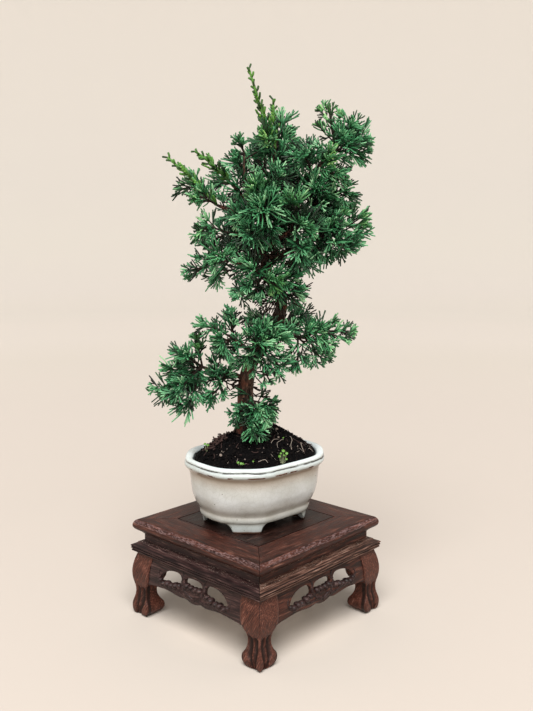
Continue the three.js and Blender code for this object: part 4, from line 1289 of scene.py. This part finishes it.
# %% Build the stand
for index, side in enumerate(SIDES):
    lengthwise = side in ("front", "back")
    # The sides that run away from the front get the shaded copy of the wood, as painted shade.
    wood = WOOD_ALONG_X if lengthwise else WOOD_SHADED
    mitred_strip("rail", rail_outline, side, WOOD_ALONG_X if lengthwise else WOOD_ALONG_Y)
    mitred_strip("waist", WAIST_OUTLINE, side, wood)
    # The front ledge gets the lit copy: partly dust, partly painted light.
    mitred_strip("ledge", LEDGE_OUTLINE, side, WOOD_LIT if side == "front" else wood)
    apron_board(side, wood)
    apron_vine(side)
    carved_leg(index)

# %% [markdown]
# ## Pot
#
# The pot is slip cast or pressed stoneware: an oblong with cut corners and bowed sides, a flat lip with two
# soft beads, a belt round its base and four cloud feet. Glaze rounds every edge. A lathe can't make an
# oblong, so a circle of points takes the plan's outline and is extruded up through the profile, each ring
# drawn in by its own inset. The feet need no cutting: the lowest rings dip to the sole at the corners only.

# %% Pot
POT_PLACE = Vector((1.2, 2.2, 0))
POT_TURN = Matrix.Rotation(math.radians(-4.6), 3, "Z")
POT_LONG, POT_WIDE, POT_CORNER = 60.2, 49.3, 26.5
POT_SOLE, POT_BASE, POT_RIM = 84.1, 92.6, 141.6
POT_STEPS = 240
POT_OUTSIDE = [
    (14.0, 84.1), (13.4, 84.5), (12.6, 88.5), (12.0, 92.2), (11.2, 93.4), (10.6, 95.0), (10.5, 96.8),
    (10.6, 98.6), (9.6, 101), (7.4, 105), (5.4, 112), (4.5, 120), (3.9, 126.5), (3.1, 130.5), (1.7, 133.0),
    (0.5, 134.4), (0, 136.0), (0.4, 137.4), (1.3, 138.3), (0.7, 139.3), (1.0, 140.8), (2.5, 141.6),
    (4.4, 141.3), (5.7, 140.2), (6.6, 137.5), (9, 124), (10.2, 108), (13.2, 101.5), (16, 97.5),
]
# Under the pot and on its floor a row is (share of the plan, inset, height).
POT_UNDER = [
    (0.1, 23.6, 92.6), (0.9, 23.6, 92.6), (1, 23.6, 92.5), (1, 23.3, 88.5), (1, 22.6, 84.4), (1, 21.8, 84.1),
]
POT_FLOOR = [(0.5, 16, 97.5), (0.1, 16, 97.5)]
DRAIN_HOLES = (-22, 22)


def in_pot(x, y, z):
    """A place in the pot's axes, in millimetres, as a place in the scene."""
    return (POT_TURN @ Vector((x, y, z)) + POT_PLACE) * MM


def pot_plan(angle, inset):
    """The pot's outline, drawn in by the inset."""
    long, wide = POT_LONG - inset, POT_WIDE - inset
    cut = long + wide - (POT_CORNER - 0.3 * inset)
    c, s = abs(math.cos(angle)), abs(math.sin(angle))
    radius = ((c / long) ** 14 + (s / wide) ** 14 + ((c + s) / cut) ** 14) ** (-1 / 14)
    return radius * math.cos(angle), radius * math.sin(angle)


def foot_line(x, y):
    """Height of the lower edge: the sole at the corners, an arch on each side between them."""
    rise = 0.0
    for along, middle, end in ((x, 24, 11), (y, 18.5, 8.5)):
        share = min(1, max(0, (middle - abs(along)) / end))
        rise = max(rise, math.sqrt(1 - (1 - share) ** 2.4))
    return POT_SOLE + (POT_BASE - POT_SOLE) * rise


def pot_place(ring, turn):
    """A point of the pot: its lowest rings dip to the feet, and noise keeps its skin from being perfect."""
    share, inset, height = ring
    angle = math.tau * turn
    way = Vector((math.cos(angle), math.sin(angle), height * 0.012))
    x, y = pot_plan(angle, inset + 0.35 * noise.noise(way * 1.6) + 0.12 * noise.noise(way * 6))
    if height < POT_BASE:
        level = (height - POT_SOLE) / (POT_BASE - POT_SOLE)
        height = foot_line(x, y) * (1 - level) + POT_BASE * level
    elif height > 130 and share == 1:
        height += 0.3 * noise.noise(way * 2.2 + Vector((7, 0, 0))) - 0.15
    return in_pot(x * share, y * share, height)


def cut_holes(piece, holes):
    """Cuts round holes, each (place, radius, depth) along Z, through a piece."""
    cutter = bmesh.new()
    for place, radius, depth in holes:
        at = Matrix.Translation(place)
        bmesh.ops.create_cone(
            cutter, cap_ends=True, segments=48, radius1=radius, radius2=radius, depth=depth, matrix=at
        )
    tool = mesh_object("cutter", cutter)
    cut = piece.modifiers.new("holes", "BOOLEAN")
    cut.operation, cut.solver, cut.object = "DIFFERENCE", "EXACT", tool
    settle(piece)
    bpy.data.objects.remove(tool)


pot_rows = POT_UNDER + [(1, *row) for row in smooth_points(POT_OUTSIDE, 3)] + POT_FLOOR
pot_mesh = ringed_body(pot_rows, pot_place, POT_STEPS)
print("pot rows:", len(pot_rows), "faces:", len(pot_mesh.faces))

# %% [markdown]
# ## Glaze
#
# A cream and celadon glaze over brown stoneware. Glaze is a glass, so it is smooth and mirrors the light. It
# is thick and bluish white where it pools, on the beads of the lip and on the feet, and thin and tan where it
# runs off, under the lip and over the belt. The tones there also hold painted light: the tan under the lip
# and the greyer belt are partly painted shade, and the whitest lip is partly a painted highlight. Iron shows
# through as a broken dark line in the lip's groove, as rusty breaks under the lip and as a few specks. The
# soles are wiped bare before firing. The tone follows the height, which a painted picture could do too, but a
# ramp over the height needs no flat layout of the pot.

# %% Glaze
CRACKLE_SPACING_MM = 4.0
SPECK_SPACING_MM = 9.0
WANDER = 0.003  # metres by which the bands of tone wander up and down
GROOVE, UNDER_LIP, SOLE = (139.2, 140.1), (135.0, 136.4), (80.0, 84.8)
# Tone of the glaze at each height in millimetres, with painted light in it: the tan band under the lip and
# the greyer belt are partly painted shade, and the whitest lip is partly a painted highlight.
GLAZE_AND_SHADE_TONES = [
    (84.1, "45291c"), (85.3, "5a3a2a"), (86.1, "adb5b5"), (90.0, "b0b8b8"), (93.0, "a5a8a4"),
    (95.5, "acafac"), (99.0, "a9a8a3"), (101.0, "a9a8a3"), (104.5, "b3b4b2"), (112.0, "b7babb"),
    (121.0, "b6b8b6"), (127.0, "aba69e"), (131.2, "918476"), (133.4, "9a938b"), (134.6, "b6bfc0"),
    (137.3, "b2bbbc"), (138.0, "8d9292"), (139.3, "c3cdd0"), (141.2, "cbd6d9"),
]


def flaws(material, body, streaks, start, end, level, span, hex_colour):
    """Broken marks in one span of height, where the streaks are over the start."""
    broken = add_node(material, "ValToRGB", {"Fac": streaks}, stops=[(start, BLACK), (end, WHITE)])
    return tint(material, body, bands(material, level, 0.3, span), broken, hex_colour)


def glaze_material():
    """Glassy glaze: sharp reflections, a fine crackle, and rough bare clay on the soles."""
    material, shader = new_material("celadon_glaze_over_stoneware", IOR=1.52)
    place = add_node(material, "TexCoord", output="Object")
    height = add_node(material, "SeparateXYZ", {"Vector": place}, "Z")
    drift = add_node(material, "TexNoise", {"Vector": place, "Scale": 60.0, "Detail": 3.0})
    wander = add_node(material, "Math", {0: drift, 1: WANDER}, operation="MULTIPLY")
    level = add_node(material, "Math", {0: height, 1: wander}, operation="ADD")
    share = add_node(material, "MapRange", {
        "Value": level, "From Min": POT_SOLE * MM + WANDER / 2, "From Max": POT_RIM * MM + WANDER / 2,
    })
    body = add_node(material, "ValToRGB", {"Fac": share}, stops=[
        ((z - POT_SOLE) / (POT_RIM - POT_SOLE), tone) for z, tone in GLAZE_AND_SHADE_TONES
    ])
    pooled = add_node(material, "ValToRGB", {"Fac": drift}, stops=[(0.35, "e2dfd8"), (0.6, WHITE)])
    body = add_node(
        material, "Mix", {0: 0.6, FIRST_COLOUR: body, SECOND_COLOUR: pooled},
        data_type="RGBA", blend_type="MULTIPLY",
    )

    cracks = add_node(material, "TexVoronoi", {
        "Vector": place, "Scale": 1000 / CRACKLE_SPACING_MM,
    }, feature="DISTANCE_TO_EDGE")
    lines = add_node(material, "ValToRGB", {"Fac": cracks}, stops=[(0.0, WHITE), (0.05, BLACK)])
    body = tint(material, body, lines, 0.18, "6e665c")
    specks = add_node(material, "TexVoronoi", {"Vector": place, "Scale": 1000 / SPECK_SPACING_MM})
    dots = add_node(material, "ValToRGB", {"Fac": specks}, stops=[(0.035, WHITE), (0.06, BLACK)])
    body = tint(material, body, dots, 0.8, "3a2c22")
    streaks = add_node(material, "TexNoise", {"Vector": place, "Scale": 90.0, "Detail": 4.0})
    body = flaws(material, body, streaks, 0.38, 0.46, level, GROOVE, "241d17")
    body = flaws(material, body, streaks, 0.52, 0.56, level, UNDER_LIP, "5a2d14")

    sole = bands(material, height, 0.2, SOLE)
    rough = add_node(material, "MapRange", {"Value": sole, "To Min": 0.05, "To Max": 0.85})
    ripple = add_node(material, "TexNoise", {"Vector": place, "Scale": 220.0, "Detail": 2.0})
    bump = add_node(material, "Bump", {"Height": ripple, "Strength": 0.15, "Distance": 0.0004})
    feed(material, shader, Base_Color=body, Roughness=rough, Normal=bump)
    return material


GLAZE = glaze_material()
pot_piece = finish_mesh("glazed_pot", pot_mesh, GLAZE, "pot")
cut_holes(pot_piece, [(in_pot(x, 0, 95), 5 * MM, 12 * MM) for x in DRAIN_HOLES])
print("pot faces:", len(pot_piece.data.polygons))

# %% [markdown]
# ## Soil
#
# The soil is a moist, crumbly mix, mounded up to the trunk: nearly black, with fibres, a few pale grains and
# the tree's own fine roots at the surface. A smooth mound would read as rubber, so its rings of points are
# lifted by noise at three sizes, and loose crumbs lie on it. The crumbs and grains are low icospheres, each
# squashed and turned, since there are hundreds of them.

# %% The mound
SOIL_EDGE, SOIL_CREST = 138.6, 162.5
CRUST_RINGS, CRUST_STEPS = 70, 260
SOIL_SIDES = [
    (1, 7.6, 134), (1, 9.4, 124), (1, 10.6, 108), (1, 12.7, 101.8), (1, 16.5, 97.8), (0.02, 16.5, 97.8),
]


def soil_height(x, y):
    """The mound in the pot's axes, with the higher shoulder that it has behind on the right."""
    angle = math.atan2(y, x - 2)
    reach = math.hypot(*pot_plan(angle, 0))
    share = min(1, math.hypot(x - 2, y) / reach / 0.88)
    mound = (1 - share**1.7) ** 1.15
    shoulder = 3.2 * math.exp(-(((x - 27) / 15) ** 2) - ((y - 5) / 14) ** 2)
    return SOIL_EDGE + (SOIL_CREST - SOIL_EDGE) * mound + shoulder


def soil_place(ring, turn):
    """A point of the soil; a ring without a height lies on the crumbly crust."""
    share, inset, depth = ring
    x, y = (share * v for v in pot_plan(math.tau * turn, inset))
    if depth is not None:
        return in_pot(x, y, depth)
    spot = Vector((x, y, 0))
    crumbs = 1.5 * abs(noise.noise(spot * 0.3))
    crumbs = crumbs + 0.9 * noise.noise(spot * 0.75) + 0.4 * noise.noise(spot * 1.9)
    return in_pot(x, y, soil_height(x, y) + crumbs * min(1, (1.02 - share) * 12))


def soil_material():
    """Moist soil: clods in near blacks, rough, with hardly any shine."""
    material, shader = new_material("moist_potting_soil", Roughness=0.8, Specular_IOR_Level=0.06)
    place = add_node(material, "TexCoord", output="Object")
    clods = add_node(material, "TexNoise", {"Vector": place, "Scale": 700.0, "Detail": 5.0})
    body = add_node(material, "ValToRGB", {"Fac": clods}, stops=[
        (0.35, "020202"), (0.54, "060506"), (0.64, "100d0c"), (0.72, "2c2019"),
    ])
    bump = add_node(material, "Bump", {"Height": clods, "Strength": 0.9, "Distance": 0.0015})
    feed(material, shader, Base_Color=body, Normal=bump)
    return material


crust = [(0.01 + 0.99 * i / CRUST_RINGS, 7.0, None) for i in range(CRUST_RINGS + 1)]
soil_mesh = ringed_body(crust + SOIL_SIDES, soil_place, CRUST_STEPS)
SOIL = soil_material()
soil_piece = finish_mesh("moist_soil", soil_mesh, SOIL, "soil")
print("soil faces:", len(soil_piece.data.polygons))

# %% Crumbs and grit
CRUMB_COUNT, GRIT_COUNT = 900, 60
# The larger pale grains: (x, y) in the pot's axes and size.
GRAIN_PLACES = [
    (14.6, -10.9, 1.5), (6.8, -20.8, 1.4), (-40.6, -3.8, 1.8), (19.2, -31.3, 0.8), (10.8, -28.1, 0.7),
    (-32.8, -24.5, 0.7), (-5, -33, 0.6), (31, -14, 0.7), (-14, -26, 0.5),
]


def scatter_lump(mesh, x, y, size, draw, lift=0.2):
    """One irregular crumb, partly sunk into the soil."""
    place = in_pot(x, y, soil_height(x, y) + lift * size + 0.6)
    squash = Matrix.Diagonal([draw.uniform(0.6, 1.3), draw.uniform(0.6, 1.2), draw.uniform(0.5, 0.9), 1])
    turn = Matrix.Rotation(draw.uniform(0, math.tau), 4, Vector((draw.random(), draw.random(), 1)))
    bmesh.ops.create_icosphere(
        mesh, subdivisions=1, radius=size * MM, matrix=Matrix.Translation(place) @ turn @ squash
    )


def random_spot(draw, limit=0.8):
    """A place on the soil, evenly spread over its surface."""
    angle, share = draw.uniform(0, math.tau), limit * math.sqrt(draw.random())
    x, y = pot_plan(angle, 0)
    return share * x, share * y


draw = random.Random(21)
crumb_mesh = bmesh.new()
for _ in range(CRUMB_COUNT):
    scatter_lump(crumb_mesh, *random_spot(draw), draw.choice((0.5, 0.7, 0.9, 1.3)), draw)
finish_mesh("soil_crumbs", crumb_mesh, SOIL, smooth=False)

# Pumice is matt and dull where it is dusty.
GRIT = plain_material("pale_pumice_grit", "7d7067", 0.9)
grit_mesh = bmesh.new()
for x, y, size in GRAIN_PLACES:
    scatter_lump(grit_mesh, x, y, size, draw, lift=0.4)
for _ in range(GRIT_COUNT):
    scatter_lump(grit_mesh, *random_spot(draw), draw.uniform(0.25, 0.5), draw, lift=0.8)
finish_mesh("pale_grit", grit_mesh, GRIT, smooth=False)
print("crumbs:", CRUMB_COUNT, "grains:", len(GRAIN_PLACES) + GRIT_COUNT)

# %% [markdown]
# ## Roots, bark bits and seedlings
#
# Fine pale roots arch out of the soil in front on the right, reddish shreds of bark stick up on the left of
# the mound, and a thick surface root follows its crest on the right. The weed seedlings are thin pale stems
# with round leaflets. A flat picture of roots would lie in the soil like a stain, so all are tubes that rise
# from it, and a leaflet is an icosphere pressed flat.

# %% Roots and shreds
# Each root is [(x, y, height above the soil), ...] in the pot's axes, with its thickness.
PALE_ROOTS = [
    ([(10.3, -23.1, 0.3), (4, -25.5, 1.6), (0.3, -26.5, 1.2), (-1.1, -29.2, 0.2)], 0.2),
    ([(20, -21, 0.4), (18.5, -24, 2.2), (16.6, -27.4, 2.2), (12.4, -30.3, 1.4), (10.9, -33, 0.2)], 0.25),
    ([(28.3, -28, 0.8), (24.5, -30, 1.8), (22.5, -33, 1.6), (20.5, -37.9, 0.6)], 0.27),
    ([(30, -33.3, 0.6), (31, -34, 1.6), (32.6, -36.6, 1.2)], 0.22),
    ([(-4.4, -24.4, 0.4), (0.4, -22.8, 1.4), (6.9, -23.1, 0.5)], 0.18),
    ([(-26.7, -33.6, 0.6), (-23, -35, 1.4), (-21, -36.2, 1.5), (-21.1, -38.4, 1.4)], 0.24),
    ([(-16.5, -12.2, 0.4), (-13, -14, 1.6), (-10, -14.6, 0.5)], 0.22),
]
CREST_ROOT = ([(10, 6, 0), (18, 5, 0.6), (28, 6, 0.4), (37, 6, 0.5), (46, 2, 0.2)], 1.1)


def curly_line(places, thickness):
    """A tube's line through places that are given over the soil, thinner towards its end."""
    knots = [Vector((x, y, soil_height(x, y) + 0.8 + z)) for x, y, z in places]
    count = 4 * (len(knots) - 1)
    return [
        (in_pot(*along_curve(knots, i / count)[0]), thickness * (1 - 0.4 * i / count) * MM, 0, 0, 0)
        for i in range(count + 1)
    ]


def shred(draw, x, y, length, thickness, climb):
    """A short curled shred of bark or root that leaves the soil at x, y."""
    heading = draw.uniform(0, math.tau)
    places, spot, height = [], Vector((x, y)), -0.8
    for _ in range(4):
        places.append((spot.x, spot.y, height))
        heading += draw.uniform(-0.7, 0.7)
        spot += Vector((math.cos(heading), math.sin(heading))) * length / 3
        height += climb * draw.uniform(0.2, 1.0)
    return curly_line(places, thickness)


draw = random.Random(8)
pale = [curly_line(*root) for root in PALE_ROOTS]
pale += [shred(draw, *random_spot(draw, 0.78), draw.uniform(3, 7), 0.14, 0.5) for _ in range(36)]
red = [
    shred(draw, draw.uniform(-36, -16), draw.uniform(8, 24), draw.uniform(4, 9), draw.uniform(0.5, 1.1), 2.0)
    for _ in range(34)
]
red += [
    shred(draw, draw.uniform(40, 50), draw.uniform(-20, 8), draw.uniform(4, 9), 0.35, 1.2) for _ in range(36)
]
red += [shred(draw, *random_spot(draw, 0.78), draw.uniform(3, 6), 0.4, 0.5) for _ in range(70)]
red.append(curly_line(*CREST_ROOT))
# A living root has a pale, faintly moist skin; a shed strip of bark is dry and reddish.
dress(tubes("pale_roots", pale), plain_material("fine_living_roots", "978b80", 0.7))
dress(tubes("bark_shreds", red), plain_material("shed_bark_shreds", "2c140d", 0.8))
print("roots:", len(pale), "shreds:", len(red))

# %% Seedlings
# Each seedling is its base (x, y), then its leaflets: (to the right, up, towards the viewer, radius).
LEAVES = [
    ((-7.7, -40.2), [
        (1.6, 9.6, 0, 1.5), (4.2, 7.6, 0.4, 1.3), (-1.4, 5.2, 0, 1.3), (4.0, 3.0, 0.6, 1.1),
        (-0.4, 7.8, 0.8, 1.0), (2.2, 6.2, 1, 1.0),
    ]),
    ((-38.2, -24.8), [(-1.6, 1.6, 0, 1.1), (0.8, 0.8, 0.3, 1.2), (2.6, 0.6, 0, 1.0)]),
    ((-30, -30.4), [(0.6, 0.9, 0, 0.8)]),
    ((10.3, -23.1), [(0.2, 1.6, 0, 0.8)]),
    ((-38.2, 17.1), [(-1.6, 5.8, 0, 1.2), (0.6, 4.6, 0, 0.7)]),
    ((-34, 22), [(0.4, 2.8, 0, 1.3), (1.8, 1.8, 0, 0.8)]),
]
VIEW_RIGHT = Vector((0.7375, -0.675, 0))
VIEW_NEAR = Vector((-0.675, -0.7375, 0))
LEAF_THICKNESS = 0.2  # as a share of a leaflet's width

leaf_mesh = bmesh.new()
stems = []
for (x, y), leaflets in LEAVES:
    base = Vector((x, y, soil_height(x, y) - 1.5))
    for right, up, near, radius in leaflets:
        tip = Vector((x, y, soil_height(x, y) + 0.6 + up)) + VIEW_RIGHT * right + VIEW_NEAR * near
        middle = (base + tip) / 2 + VIEW_RIGHT * (0.2 * right)
        stem = ((base, 0.24), (middle, 0.22), (tip, 0.18))
        stems.append([(in_pot(*place), width * MM, 0, 0, 0) for place, width in stem])
        tilt = Matrix.Rotation(draw.uniform(0.5, 1.0), 4, "X") @ Matrix.Diagonal([1, 1, LEAF_THICKNESS, 1])
        turn = Matrix.Rotation(TREE_ANGLE + draw.uniform(-0.5, 0.5), 4, "Z")
        at = Matrix.Translation(in_pot(*tip))
        bmesh.ops.create_icosphere(leaf_mesh, subdivisions=2, radius=radius * MM, matrix=at @ turn @ tilt)
# A young leaf is thin and soft, with a little shine; its stem is paler.
LEAF = plain_material("thin_seedling_leaf", "4d7a22", 0.5)
finish_mesh("seedling_leaflets", leaf_mesh, LEAF, "seedling")
dress(tubes("seedling_stems", stems), plain_material("pale_seedling_stem", "7f8668", 0.5))
print("leaflets:", len(stems))

# %% [markdown]
# ## Panel and screens
#
# Two kinds of piece keep the CAD model's own mesh. The stand's centre panel is a flat board whose edges lie
# in the frame's groove, and the squares of plastic mesh under the soil can't be seen, so a finer shape would
# add nothing. They only get their materials.


# %% Panel and screens
def assign(node, material):
    """Gives a CAD piece its finish and leaves its mesh alone."""
    materials = bpy.data.objects[node].data.materials
    materials.clear()
    materials.append(material)


# The panel's wood is darker than the frame's, as painted shade under the pot.
assign("stand_panel", WOOD_PANEL)
MESH_PLASTIC = plain_material("woven_plastic_mesh", "101312", 0.5)
for node in ("drain_screen_left", "drain_screen_right"):
    assign(node, MESH_PLASTIC)
